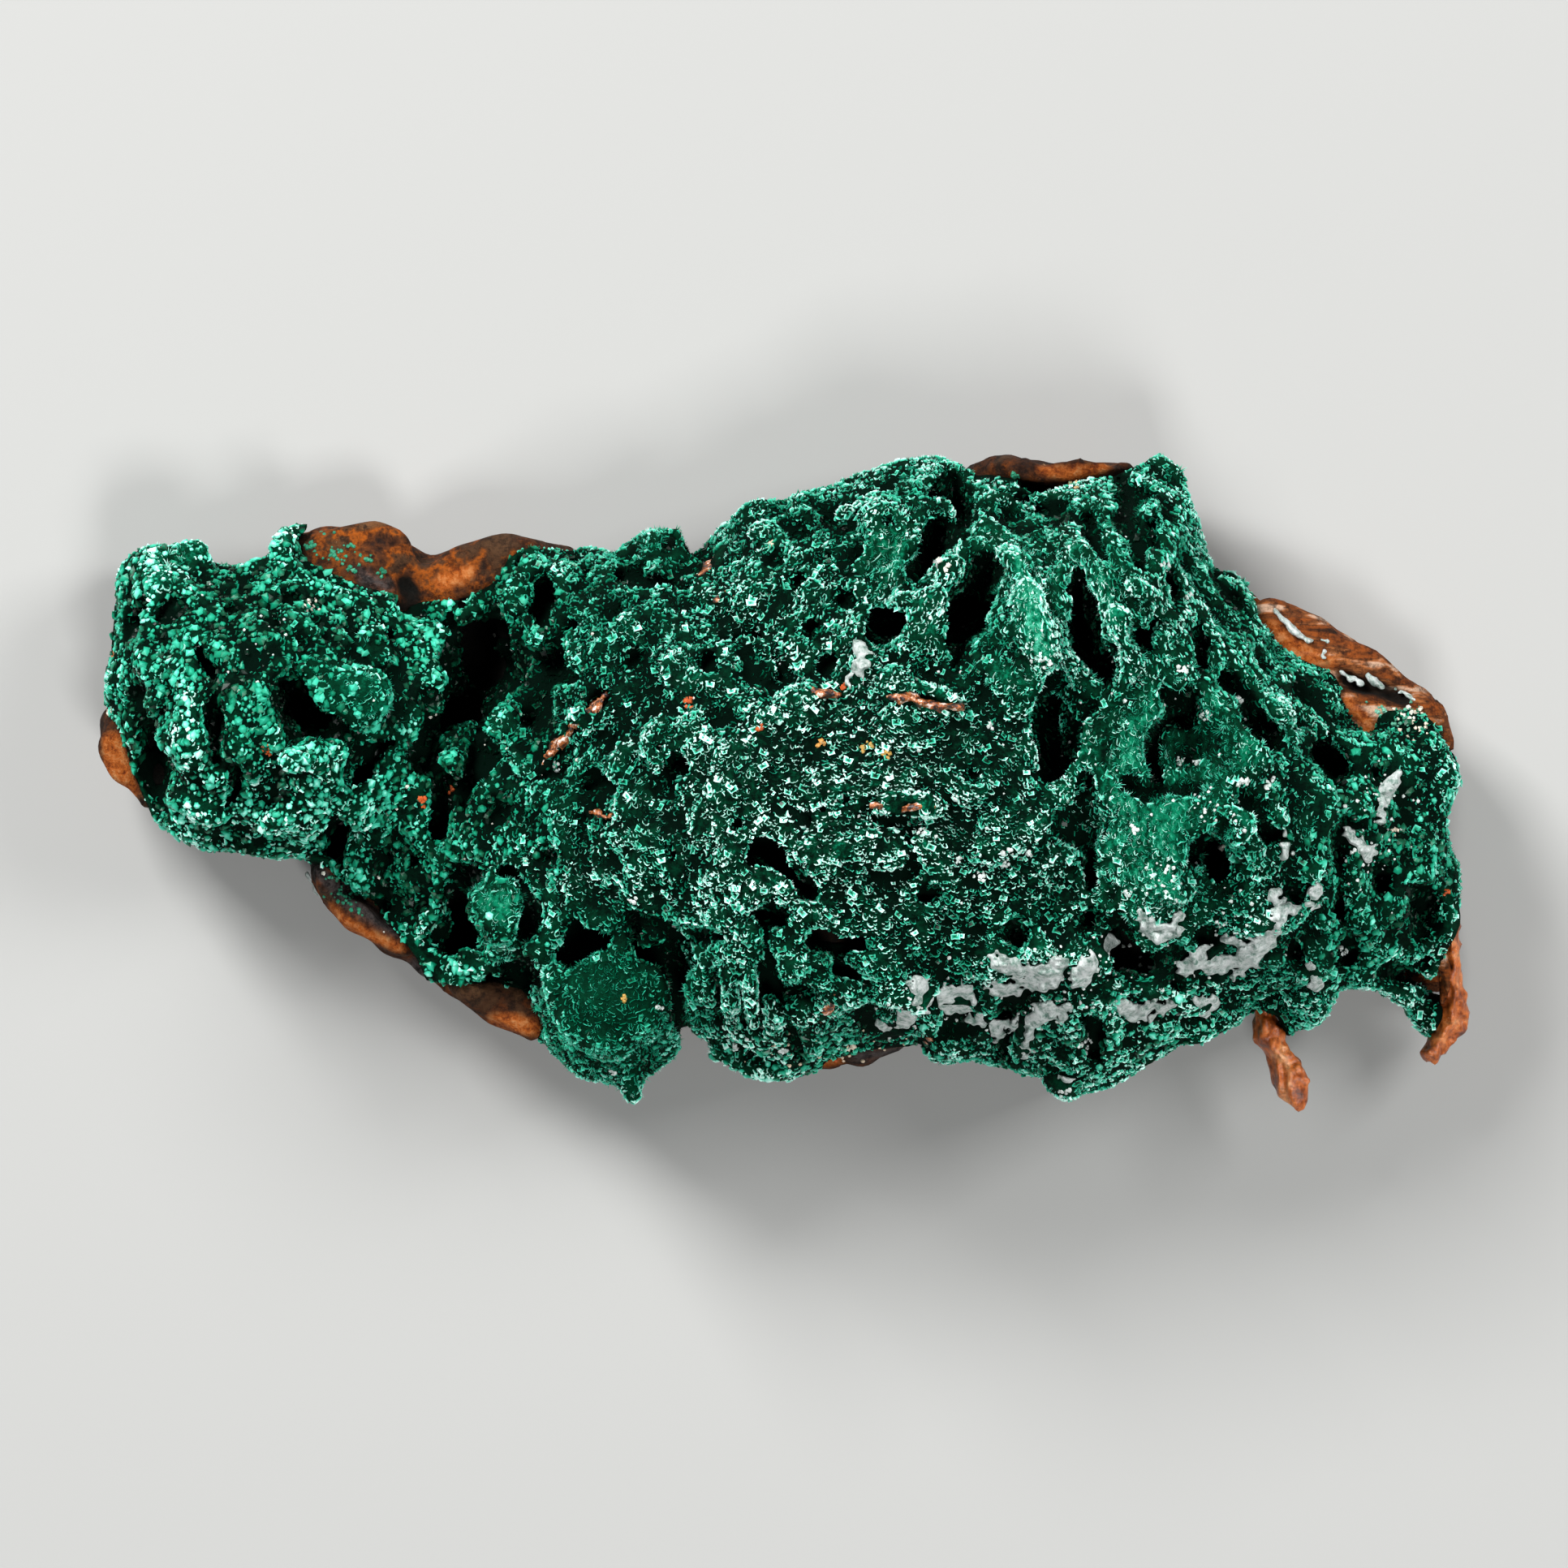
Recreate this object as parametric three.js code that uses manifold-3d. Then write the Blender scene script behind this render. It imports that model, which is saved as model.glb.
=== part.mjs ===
// A hand specimen of malachite on barite, lying on its broken back.
// Millimetres, +Z up. X runs along the length of the stone, Y across it, and z = 0 is the surface it rests on.
// The stone is one mass of intergrown, curved barite blades. A thick druse of malachite grew over its front,
// and leaves the barite bare along parts of the rim and where the crests of single blades stand through it.
import * as THREE from "three";
import { mergeVertices } from "three/addons/utils/BufferGeometryUtils.js";
import Module from "manifold-3d";

const wasm = await Module();
wasm.setup();

// Driving dimensions
const LENGTH = 100; // along X
const WIDTH = 47.6; // along Y
const HEIGHT = 32; // the top of the druse's middle dome
const GAP = 0.3; // clearance between the druse and the barite it grew on
const DRUSE = 3.2; // usual thickness of the malachite
const RIM = 6.5; // height of the ledge that the edge of the malachite sits on
const EDGE_REACH = 9; // how far in from the rim the druse takes to rise to its full height
const FINE_STEP = 2.5; // grid of the druse's front
const COARSE_STEP = 4; // grid of the hidden contact between druse and barite, and of the back
const SOFTENING = 2; // how far around a point its distance to the rim is averaged
const MARGIN = 4; // how far the grids run past the outlines that cut them
const LEDGE_WIDTH = 2.8; // how far in from its edge the malachite lies on the ledge
const DIP_REACH = 3.8; // how far past a hole its floor of barite is lowered
const DEEPEST_DIP = 4; // how far below the ledge that floor may go
const BOTTOM_OF_CUT = 1; // level that the druse's body starts from, below its contact with the barite

// Rim of the malachite, seen from above.
const druseRim = [
  [-48.6, 15.6], [-47.6, 16.8], [-45.9, 17.7], [-44.3, 17.0], [-42.7, 17.7], [-41.9, 15.9], [-40.5, 15.6],
  [-37.2, 16.3], [-37.2, 18.4], [-36.2, 18.8], [-34.7, 18.0], [-33.9, 15.6], [-31.0, 14.3], [-26.9, 13.1],
  [-24.0, 13.3], [-21.3, 14.5], [-19.9, 16.3], [-18.3, 17.5], [-13.0, 17.0], [-10.7, 18.2], [-8.5, 18.7],
  [-7.1, 18.2], [-6.5, 16.5], [-5.1, 18.0], [-3.9, 19.7], [1.2, 21.1], [4.4, 22.1], [8.5, 23.7], [11.8, 23.6],
  [13.6, 22.1], [19.2, 21.4], [23.3, 21.7], [25.1, 23.2], [28.5, 23.4], [29.5, 21.5], [31.1, 16.3],
  [31.9, 15.2], [33.5, 14.8], [35.6, 10.6], [38.0, 8.6], [40.1, 8.4], [40.5, 6.0], [42.8, 3.7], [43.9, 5.7],
  [46.0, 5.1], [48.3, 3.5], [49.4, 0.1], [48.3, -3.0], [49.1, -6.3], [48.7, -11.9], [47.6, -13.6],
  [46.5, -12.8], [45.9, -14.8], [46.5, -18.0], [43.4, -15.2], [40.7, -14.8], [40.1, -16.4], [38.7, -18.0],
  [36.9, -18.4], [34.5, -16.0], [31.6, -18.2], [26.6, -20.7], [24.2, -22.3], [20.6, -23.2], [19.2, -21.5],
  [15.7, -21.1], [14.6, -20.3], [5.6, -20.2], [2.6, -20.6], [0.9, -21.9], [-1.8, -21.3], [-3.9, -20.3],
  [-5.8, -18.2], [-7.3, -17.8], [-7.4, -20.0], [-9.9, -21.6], [-10.5, -23.5], [-11.9, -22.0], [-15.1, -21.9],
  [-17.6, -18.7], [-18.2, -16.2], [-21.1, -14.4], [-25.8, -14.2], [-26.8, -12.5], [-29.3, -10.9],
  [-33.4, -7.1], [-34.7, -5.6], [-37.5, -5.4], [-43.1, -4.5], [-45.8, -2.8], [-47.1, -0.1], [-48.2, 3.8],
  [-49.4, 6.4], [-48.8, 10.9],
];

// Rim of the barite below it. Where it runs outside the malachite, the blades are bare.
const bariteRim = [
  [-48.6, 13.2], [-47.0, 15.8], [-44.3, 16.0], [-39.3, 15.1], [-36.7, 16.2], [-35.5, 18.2], [-32.2, 18.7],
  [-29.3, 18.3], [-27.2, 17.5], [-26.0, 16.4], [-24.7, 16.6], [-22.2, 17.7], [-19.2, 18.0], [-15.7, 16.9],
  [-12.7, 16.0], [-6.8, 15.4], [-3.9, 18.3], [2.0, 20.1], [8.5, 22.6], [13.3, 23.6], [19.2, 23.6],
  [25.1, 23.2], [28.0, 22.1], [28.9, 18.5], [31.0, 14.8], [33.3, 14.7], [35.7, 12.9], [38.2, 12.2],
  [41.3, 10.4], [44.3, 8.4], [46.6, 6.6], [48.2, 4.4], [48.6, 0.2], [47.7, -4.5], [48.6, -6.2], [48.4, -12.6],
  [45.3, -12.0], [44.6, -15.2], [42.8, -13.9], [39.8, -14.6], [37.5, -17.0], [33.6, -15.4], [30.4, -17.4],
  [25.7, -19.9], [20.3, -21.9], [18.6, -20.4], [14.7, -19.9], [8.5, -19.6], [6.5, -20.6], [2.6, -20.9],
  [1.2, -21.4], [-3.9, -19.1], [-7.1, -17.0], [-8.6, -19.6], [-14.5, -20.9], [-17.3, -18.5], [-18.3, -18.4],
  [-21.0, -17.3], [-22.9, -16.3], [-24.2, -14.8], [-26.3, -14.5], [-27.5, -11.9], [-30.2, -10.7],
  [-32.2, -8.9], [-33.7, -7.3], [-35.1, -5.2], [-39.3, -4.9], [-42.9, -4.4], [-44.9, -3.0], [-46.7, -1.7],
  [-48.2, -0.1], [-49.9, 1.9], [-49.4, 5.0], [-48.4, 6.2], [-48.8, 9.7],
];

// Broad swells of the druse: [x, y, reach along, reach across, height of the top, turn in degrees].
const swells = [
  [5.5, -2.5, 27, 21, 31.5, 8], // middle dome
  [21, 13.5, 17, 15, 29.5, 0], // wall of ridged fins above it
  [30, -2, 15, 18, 27.5, 0], // right shoulder with the bowl
  [43.5, -4, 12, 17, 18, 0], // far right lobe
  [24, -16, 18, 11, 21, 20], // flank below the shoulder
  [-40, 6, 15, 16, 20.5, -10], // left lobe
  [-25, 3, 18, 16, 14.5, 0], // trough between the lobe and the dome
  [-12.4, -16, 8.5, 9, 21, 0], // velvet mound at the lower left
  [-11, 12, 15, 10, 19, 0], // upper left shoulder of the dome
  [-2, -15, 13, 11, 23, -60], // blades at the foot of the dome
  [6, 18, 15, 9, 23, 0], // upper edge
];
const SWELL_BLEND = 7; // how sharply one swell gives way to the next

// Holes and slots between the coated blades: [x, y, half length, half width, depth, turn of the length].
const holes = [
  [-21.6, 9.0, 3.1, 2.1, 7.5, 80],
  [-23.6, 4.2, 2.6, 1.6, 6, 60],
  [-30.8, 0.3, 2.1, 1.5, 6, 75],
  [-23.1, -9.8, 2.9, 1.4, 6, 110],
  [-35.2, 5.6, 2.8, 1.4, 5.5, 100],
  [-45.3, 1.8, 4.0, 1.0, 5, 93],
  [-33.0, -4.2, 2.1, 1.3, 5.5, 40],
  [11.0, 16.6, 3.1, 1.2, 7, 70],
  [13.3, 20.2, 2.7, 0.9, 5.5, 100],
  [17.9, 19.9, 2.3, 1.2, 5.5, 0],
  [13.6, 12.8, 3.0, 1.5, 7, 65],
  [7.7, 11.1, 2.1, 1.2, 5.5, 35],
  [21.6, 12.6, 4.0, 1.2, 8, 92],
  [22.9, 8.6, 2.2, 1.6, 8, 55],
  [19.5, 3.8, 3.5, 1.2, 7, 88],
  [21.9, -2.6, 4.3, 0.8, 5, 92],
  [31.0, -6.0, 2.5, 1.4, 7, 100],
  [39.8, 1.1, 2.0, 1.6, 6, 130],
  [-7.2, -13.8, 3.5, 0.9, 6, 92],
];
const HOLE_SHRINK = 1.08; // a faceted hole is a little smaller than its radii, which this makes up for

// The round bowl in the right shoulder, wide and shallow.
const bowl = [29.4, 2.4, 3.6, 3.1, 4.2, 0];

// Balls of malachite that sit in the hollows and on the rim: [x, y, radius, how far its centre lies below the druse].
const balls = [
  [-20.9, -8.6, 2.1, -0.6],
  [-31.6, 7.2, 2.6, 0.9],
  [-7.9, 17.2, 1.6, 0.4],
  [8.2, -14.6, 1.8, 0.8],
  [16.6, 7.4, 2.8, 1.3],
];

// Crests of single blades: [x, y, length, thickness, height over the druse, turn in degrees].
// The malachite coats these, and they stand over the druse as fins.
const fins = [
  [17.6, 12.4, 11.0, 2.1, 1.2, -77],
  [11.9, 14.9, 8.0, 1.5, 0.9, 56],
  [23.6, 12.0, 9.0, 1.5, 1.2, -70],
  [27.2, 13.0, 6.4, 1.5, 1.0, -45],
  [-4.4, -15.4, 6.0, 1.0, 0.9, -72],
  [-2.0, -16.0, 7.0, 1.0, 0.9, -70],
];
// The malachite leaves these bare.
const bareCrests = [
  [-14.0, 5.0, 4.6, 0.9, 0.5, 45],
  [10.5, 5.9, 4.8, 0.9, 0.5, -14],
  [9.2, -1.6, 4.0, 0.5, 0.4, -2],
  [-5.2, 15.2, 2.2, 0.7, 0.4, 45],
];
const CREST_DEPTH = 6; // how deep a crest is rooted below the surface
const CREST_SINK = 0.8; // how far below the surface its ends are
const CREST_TAPER = 0.7; // how much of its thickness it loses towards its ends
const CREST_STEPS = 6;

// Two bare blades that stand out past the malachite, seen from above. Each is thickest at its root.
const spike = [
  [34.6, -13.9], [35.5, -14.6], [35.9, -16.4], [36.6, -18.4], [37.5, -19.9], [38.2, -21.6], [37.8, -23.8],
  [36.9, -22.9], [36.0, -22.0], [35.4, -20.6], [34.9, -18.6], [34.5, -16.6],
];
const corner = [
  [47.0, -10.5], [49.1, -11.0], [49.3, -13.9], [50.0, -16.3], [49.4, -18.4], [47.3, -20.4], [46.8, -20.1],
  [47.7, -17.8], [47.9, -16.0], [47.6, -13.9], [46.4, -12.2],
];
const BLADE_BEVEL = 0.3;
const BLADE_ROOT = -13; // y where a blade starts to thin
const BLADE_THINNING = 0.07; // share of its thickness that a blade loses in each millimetre past that

// Curved plates of bare barite at the rim: [x, y, z, half length, half width, half thickness, turn, lean].
const plates = [
  [41.4, 7.2, 8.6, 9.6, 4.8, 2.2, -37, 0.25],
  [-31.5, 14.6, 7.6, 5.8, 4.2, 2.2, -3, 0.2],
  [-21.5, 14.6, 7.4, 5.4, 3.5, 2.2, 10, 0.2],
  [-47.0, 2.0, 6.6, 4.4, 2.4, 2.4, -60, 0],
  [-20.5, -15.4, 6.4, 4.0, 2.5, 2.0, -30, 0],
  [19.5, 21.4, 7.6, 8.0, 2.4, 2.2, 0, 0.1],
];

// Smooth repeatable noise from -1 to 1.
function hash(i, j, k) {
  const s = Math.sin(i * 127.1 + j * 311.7 + k * 74.7) * 43758.5453;
  return 2 * (s - Math.floor(s)) - 1;
}
function noise(x, y, z = 0) {
  const [i, j, k] = [x, y, z].map(Math.floor);
  const [u, v, w] = [x - i, y - j, z - k].map((t) => t * t * (3 - 2 * t));
  const mix = THREE.MathUtils.lerp;
  const row = (b, c) => mix(hash(i, j + b, k + c), hash(i + 1, j + b, k + c), u);
  return mix(mix(row(0, 0), row(1, 0), v), mix(row(0, 1), row(1, 1), v), w);
}

// Distance from a point to an outline, positive inside it.
function inset(outline, x, y) {
  let nearest = Infinity;
  let inside = false;
  outline.forEach(([ax, ay], n) => {
    const [bx, by] = outline[(n + 1) % outline.length];
    const [dx, dy] = [bx - ax, by - ay];
    const t = THREE.MathUtils.clamp(((x - ax) * dx + (y - ay) * dy) / (dx * dx + dy * dy), 0, 1);
    nearest = Math.min(nearest, Math.hypot(x - ax - t * dx, y - ay - t * dy));
    if (ay > y !== by > y && x < ax + ((y - ay) / dy) * dx) inside = !inside;
  });
  return inside ? nearest : -nearest;
}

// The same distance, averaged with that of four points around, so that small bays of the rim don't show.
function softInset(outline, x, y) {
  const around = [[0, 0], [SOFTENING, 0], [-SOFTENING, 0], [0, SOFTENING], [0, -SOFTENING]];
  return around.reduce((sum, [dx, dy]) => sum + inset(outline, x + dx, y + dy), 0) / around.length;
}

// Coordinates of a point in a turned frame.
function turned(x, y, degrees) {
  const a = THREE.MathUtils.degToRad(degrees);
  return [x * Math.cos(a) + y * Math.sin(a), y * Math.cos(a) - x * Math.sin(a)];
}

// Height of the rounded shoulder at a given distance in from the rim.
function shoulder(distance) {
  const t = THREE.MathUtils.clamp(distance / EDGE_REACH, 0, 1);
  return Math.sqrt(1 - (1 - t) ** 2);
}

// The height of the malachite's swells, without its lumps and holes.
function swellHeight(x, y) {
  let sum = 0;
  for (const [cx, cy, along, across, top, turn] of swells) {
    const [u, v] = turned(x - cx, y - cy, turn);
    const fall = 1 - 0.45 * ((u / along) ** 2 + (v / across) ** 2);
    sum += Math.max(top * fall, 1) ** SWELL_BLEND;
  }
  return Math.min(sum ** (1 / SWELL_BLEND), HEIGHT + 1);
}

// The front of the malachite.
function druseFront(x, y) {
  const body = swellHeight(x, y);
  const edge = RIM + DRUSE + (body - RIM - DRUSE) * shoulder(softInset(druseRim, x, y));
  const lumps = 1.5 * noise(x / 4.4, y / 4.4) + 0.6 * noise(x / 2.5, y / 2.5, 9);
  return Math.min(edge + lumps, HEIGHT);
}

// The contact between barite and malachite. It dips under the holes, and drops to a ledge near the rim.
function contact(x, y) {
  let dip = 0;
  for (const [cx, cy, along, across, depth, turn] of holes) {
    const [u, v] = turned(x - cx, y - cy, turn);
    const fade = Math.exp(-((u / (along + DIP_REACH)) ** 4) - (v / (across + DIP_REACH)) ** 4);
    dip = Math.max(dip, (depth + 2) * fade);
  }
  const ledge = RIM + 0.8 * noise(x / 5, y / 5, 3);
  const rise = swellHeight(x, y) - DRUSE - dip - ledge;
  return ledge + Math.max(rise, -DEEPEST_DIP) * shoulder(inset(druseRim, x, y) - LEDGE_WIDTH);
}

// The back of the stone: broken flat in the middle, rough around that, and rounded up to the rim.
function back(x, y) {
  const d = inset(bariteRim, x, y);
  const rough = 2.4 * Math.max(0, noise(x / 7, y / 7, 5) - 0.15);
  const roundness = (RIM - 2.5) * (1 - shoulder(d * 1.3));
  return d > EDGE_REACH ? 0 : Math.max(0, roundness + rough * (1 - shoulder(d * 0.8)));
}

// A closed three.js geometry as a solid for joining and cutting.
function solid(geometry) {
  const bare = geometry.clone();
  bare.deleteAttribute("normal");
  bare.deleteAttribute("uv");
  const merged = mergeVertices(bare, 1e-4);
  return new wasm.Manifold(
    new wasm.Mesh({
      numProp: 3,
      vertProperties: new Float32Array(merged.attributes.position.array),
      triVerts: new Uint32Array(merged.index.array),
    }),
  );
}

// A box whose top and bottom follow two height functions, on a grid with the given step.
function relief(top, bottom, step) {
  const [length, width] = [LENGTH + 2 * MARGIN, WIDTH + 2 * MARGIN];
  const box = new THREE.BoxGeometry(length, width, 2, Math.round(length / step), Math.round(width / step), 1);
  const p = box.attributes.position;
  for (let n = 0; n < p.count; n++) {
    const x = p.getX(n) + 0.3 * step * noise(p.getX(n), p.getY(n), 1);
    const y = p.getY(n) + 0.3 * step * noise(p.getX(n), p.getY(n), 2);
    p.setXYZ(n, x, y, p.getZ(n) > 0 ? top(x, y) : bottom(x, y));
  }
  return solid(box);
}

// An upright prism over an outline, as high as the whole stone.
function prism(outline) {
  const shape = new THREE.Shape(outline.map(([x, y]) => new THREE.Vector2(x, y)));
  const geometry = new THREE.ExtrudeGeometry(shape, { depth: HEIGHT + 2, bevelEnabled: false });
  return solid(geometry.translate(0, 0, -1));
}

// A flat blade that juts out from the rim and thins towards its tip.
function blade(outline, low, high, grow) {
  const shape = new THREE.Shape(outline.map(([x, y]) => new THREE.Vector2(x, y)));
  const geometry = new THREE.ExtrudeGeometry(shape, {
    depth: high - low - 2 * BLADE_BEVEL,
    bevelThickness: BLADE_BEVEL,
    bevelSize: BLADE_BEVEL + grow,
    bevelOffset: -BLADE_BEVEL,
    bevelSegments: 1,
  });
  geometry.translate(0, 0, (low - high) / 2 + BLADE_BEVEL);
  const p = geometry.attributes.position;
  for (let n = 0; n < p.count; n++) {
    const thinned = 1 - BLADE_THINNING * Math.max(0, BLADE_ROOT - p.getY(n));
    p.setZ(n, (low + high) / 2 + p.getZ(n) * thinned + grow * Math.sign(p.getZ(n)));
  }
  return solid(geometry);
}

// A rough ellipsoid, used as a hole when it is cut away and as a ball when it is joined.
function pebble(x, y, z, radii, turn, roughness) {
  const geometry = new THREE.IcosahedronGeometry(1, 1);
  const p = geometry.attributes.position;
  const v = new THREE.Vector3();
  for (let n = 0; n < p.count; n++) {
    v.fromBufferAttribute(p, n);
    v.multiplyScalar(1 + roughness * noise(v.x * 3 + x, v.y * 3 + y, v.z * 3));
    p.setXYZ(n, v.x, v.y, v.z);
  }
  geometry.scale(...radii);
  geometry.rotateZ(THREE.MathUtils.degToRad(turn));
  return solid(geometry.translate(x, y, z));
}

function hole([x, y, along, across, depth, turn]) {
  const radii = [along * HOLE_SHRINK, across * HOLE_SHRINK, depth];
  return pebble(x, y, druseFront(x, y) + 0.8, radii, turn, 0.22);
}

function ball([x, y, radius, sunk]) {
  return pebble(x, y, druseFront(x, y) - sunk, [radius, radius, radius], 0, 0.12);
}

// The crest of one blade: a plate that is lens-shaped from above, with an arched top that follows the druse.
function crest([x, y, length, thickness, proud, turn], grow) {
  const half = length / 2 + grow;
  const [alongX, alongY] = turned(1, 0, -turn);
  const top = (t) => {
    const arch = (proud + CREST_SINK) * Math.sqrt(1 - t * t) - CREST_SINK;
    return druseFront(x + t * half * alongX, y + t * half * alongY) + arch + grow;
  };
  const shape = new THREE.Shape();
  shape.moveTo(-half, top(-1) - CREST_DEPTH - 2 * grow);
  shape.lineTo(half, top(1) - CREST_DEPTH - 2 * grow);
  for (let n = CREST_STEPS; n >= 0; n--) {
    const t = (2 * n) / CREST_STEPS - 1;
    shape.lineTo(t * half, top(t));
  }
  const geometry = new THREE.ExtrudeGeometry(shape, { depth: 2, bevelEnabled: false });
  geometry.translate(0, 0, -1).rotateX(Math.PI / 2);
  const p = geometry.attributes.position;
  for (let n = 0; n < p.count; n++) {
    const lens = 1 - CREST_TAPER * (p.getX(n) / half) ** 2;
    p.setY(n, p.getY(n) * ((thickness / 2) * lens + grow));
  }
  return solid(geometry.rotateZ(THREE.MathUtils.degToRad(turn)).translate(x, y, 0));
}

function barePlate([x, y, z, along, across, thick, turn, lean], grow) {
  const geometry = new THREE.SphereGeometry(1, 12, 6);
  geometry.rotateX(Math.PI / 2).scale(along + grow, across + grow, thick + grow);
  geometry.rotateX(-lean).rotateZ(THREE.MathUtils.degToRad(turn));
  return solid(geometry.translate(x, y, z));
}

// Every piece of barite that is not the massive body, made larger by grow to cut its seat in the druse.
function barePieces(grow) {
  return [
    ...bareCrests.map((one) => crest(one, grow)),
    ...plates.map((one) => barePlate(one, grow)),
    blade(spike, 6, 11.5, grow),
    blade(corner, 3.5, 9.5, grow),
  ];
}

function makeBarite() {
  const body = relief(contact, back, COARSE_STEP).intersect(prism(bariteRim));
  return barePieces(0).reduce((whole, piece) => whole.add(piece), body);
}

function makeDruse() {
  const seat = relief((x, y) => contact(x, y) + GAP, () => -5, COARSE_STEP);
  let druse = relief(druseFront, () => BOTTOM_OF_CUT, FINE_STEP).intersect(prism(druseRim));
  for (const one of holes) druse = druse.subtract(hole(one));
  druse = druse.subtract(hole(bowl));
  for (const one of balls) druse = druse.add(ball(one));
  for (const one of fins) druse = druse.add(crest(one, 0));
  for (const piece of barePieces(GAP)) druse = druse.subtract(piece);
  return druse.subtract(seat);
}

// The largest body of a solid: crumbs that a cut leaves loose are dropped.
function largest(made) {
  return made.decompose().sort((a, b) => b.volume() - a.volume())[0];
}

function meshOf(name, made, color, roughness) {
  const { numProp, vertProperties, triVerts } = made.getMesh();
  const corners = new THREE.InterleavedBuffer(vertProperties, numProp);
  const geometry = new THREE.BufferGeometry();
  geometry.setAttribute("position", new THREE.InterleavedBufferAttribute(corners, 3, 0));
  geometry.setIndex(new THREE.BufferAttribute(triVerts, 1));
  const flat = geometry.toNonIndexed();
  flat.computeVertexNormals();
  const mesh = new THREE.Mesh(flat, new THREE.MeshStandardMaterial({ color, roughness, metalness: 0 }));
  mesh.name = name;
  return mesh;
}

const specimen = new THREE.Group();
specimen.add(meshOf("barite_matrix", largest(makeBarite()), 0x8a5a33, 0.6));
specimen.add(meshOf("malachite_druse", largest(makeDruse()), 0x167055, 0.55));

// The origin is the middle of the whole stone's box, on the surface it rests on.
const middle = new THREE.Box3().setFromObject(specimen).getCenter(new THREE.Vector3());
specimen.position.set(-middle.x, -middle.y, 0);

export default specimen;
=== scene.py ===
# %% [markdown]
# # Malachite on barite
#
# A hand specimen lies on its broken back. Below is a mass of curved barite blades, stained brown by iron.
# Over it grew a thick druse of malachite: thousands of tiny rosettes, half a millimetre across, on lumps,
# fins and balls, with dark holes between the coated blades. Pale chalky crusts lie on the lower right.
#
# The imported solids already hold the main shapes. Here each one becomes a field of distances, which is
# carved and roughened like clay, and turned back into a mesh that stands for its solid. Then the rosettes
# are grown over the malachite with Geometry Nodes.

# %% Load the frame that every piece is built on
import math

import bmesh
import bpy
import numpy as np
import openvdb as vdb
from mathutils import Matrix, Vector


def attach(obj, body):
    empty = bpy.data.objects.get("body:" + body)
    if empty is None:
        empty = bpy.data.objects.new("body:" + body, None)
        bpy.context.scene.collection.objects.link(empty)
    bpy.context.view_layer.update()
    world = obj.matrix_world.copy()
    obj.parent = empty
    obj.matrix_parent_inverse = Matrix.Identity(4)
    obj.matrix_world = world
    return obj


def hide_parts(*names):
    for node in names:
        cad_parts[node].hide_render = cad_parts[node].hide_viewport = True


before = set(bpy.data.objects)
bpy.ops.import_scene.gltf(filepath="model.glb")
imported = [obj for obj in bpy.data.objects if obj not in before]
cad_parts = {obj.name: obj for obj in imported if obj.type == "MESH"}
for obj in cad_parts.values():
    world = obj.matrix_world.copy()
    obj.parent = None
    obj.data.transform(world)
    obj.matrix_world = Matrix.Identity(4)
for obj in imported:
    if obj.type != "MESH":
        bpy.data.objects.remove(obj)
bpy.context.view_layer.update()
MM = 0.001
print("solids:", sorted(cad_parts))

# %% [markdown]
# ## Stone as a field of distances
#
# A broken, encrusted stone has no edges or profiles to extrude. It could be sculpted by hand or displaced
# along its normals, but displacement folds over at steep walls. A grid that holds, in every cell, the
# distance to the surface has no such trouble: holes, balls and fins are cut and joined with a minimum or a
# maximum, and noise swells the surface in three dimensions.

# %% The grid, and a solid's distances on it
CELL = 0.4  # mm
LOW = np.array([-52.0, -26.0, -2.0])  # mm, the grid's lowest corner
HIGH = np.array([52.0, 26.0, 35.2])
CELLS = tuple(int(round(n)) + 1 for n in (HIGH - LOW) / CELL)
REACH = 8  # cells on either side of the surface whose distance is known
X, Y, Z = (LOW[axis] + CELL * np.arange(CELLS[axis], dtype=np.float32) for axis in range(3))


def distances_of(node):
    """How far each cell lies outside a solid, in mm; negative inside it."""
    shape = bmesh.new()
    shape.from_mesh(node.data)
    bmesh.ops.remove_doubles(shape, verts=shape.verts, dist=1e-6)
    points = np.array([v.co for v in shape.verts], dtype=np.float32) / MM
    triangles = np.array([[v.index for v in f.verts] for f in shape.faces], dtype=np.uint32)
    shape.free()
    scale = vdb.createLinearTransform(voxelSize=CELL)
    grid = vdb.FloatGrid.createLevelSetFromPolygons(
        points, triangles=triangles, transform=scale, halfWidth=REACH)
    field = np.empty(CELLS, dtype=np.float32)
    grid.copyToArray(field, ijk=tuple(int(round(n)) for n in LOW / CELL))
    return field


druse = distances_of(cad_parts["malachite_druse"])
stone = distances_of(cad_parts["barite_matrix"])
print("cells:", CELLS, "malachite cells:", int((druse < 0).sum()), "barite cells:", int((stone < 0).sum()))

# %% Softening and noise on the grid
def soften(field, passes):
    """Each pass averages a cell with its neighbours, which rounds off the solid's flat facets."""
    for _ in range(passes):
        for axis in range(field.ndim):
            field = (np.roll(field, 1, axis) + 2 * field + np.roll(field, -1, axis)) / 4
    return field


def spline_weights(count, lattice, period, start):
    """How much each point of a coarse lattice adds to each cell along one axis, by cubic splines."""
    place = start + CELL * np.arange(count) / period
    weights = np.zeros((count, lattice), dtype=np.float32)
    whole = np.floor(place).astype(int)
    t = place - whole
    parts = ((1 - t) ** 3, 3 * t**3 - 6 * t**2 + 4, -3 * t**3 + 3 * t**2 + 3 * t + 1, t**3)
    for offset, part in enumerate(parts):
        weights[np.arange(count), whole + offset] = part / 6
    return weights


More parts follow.
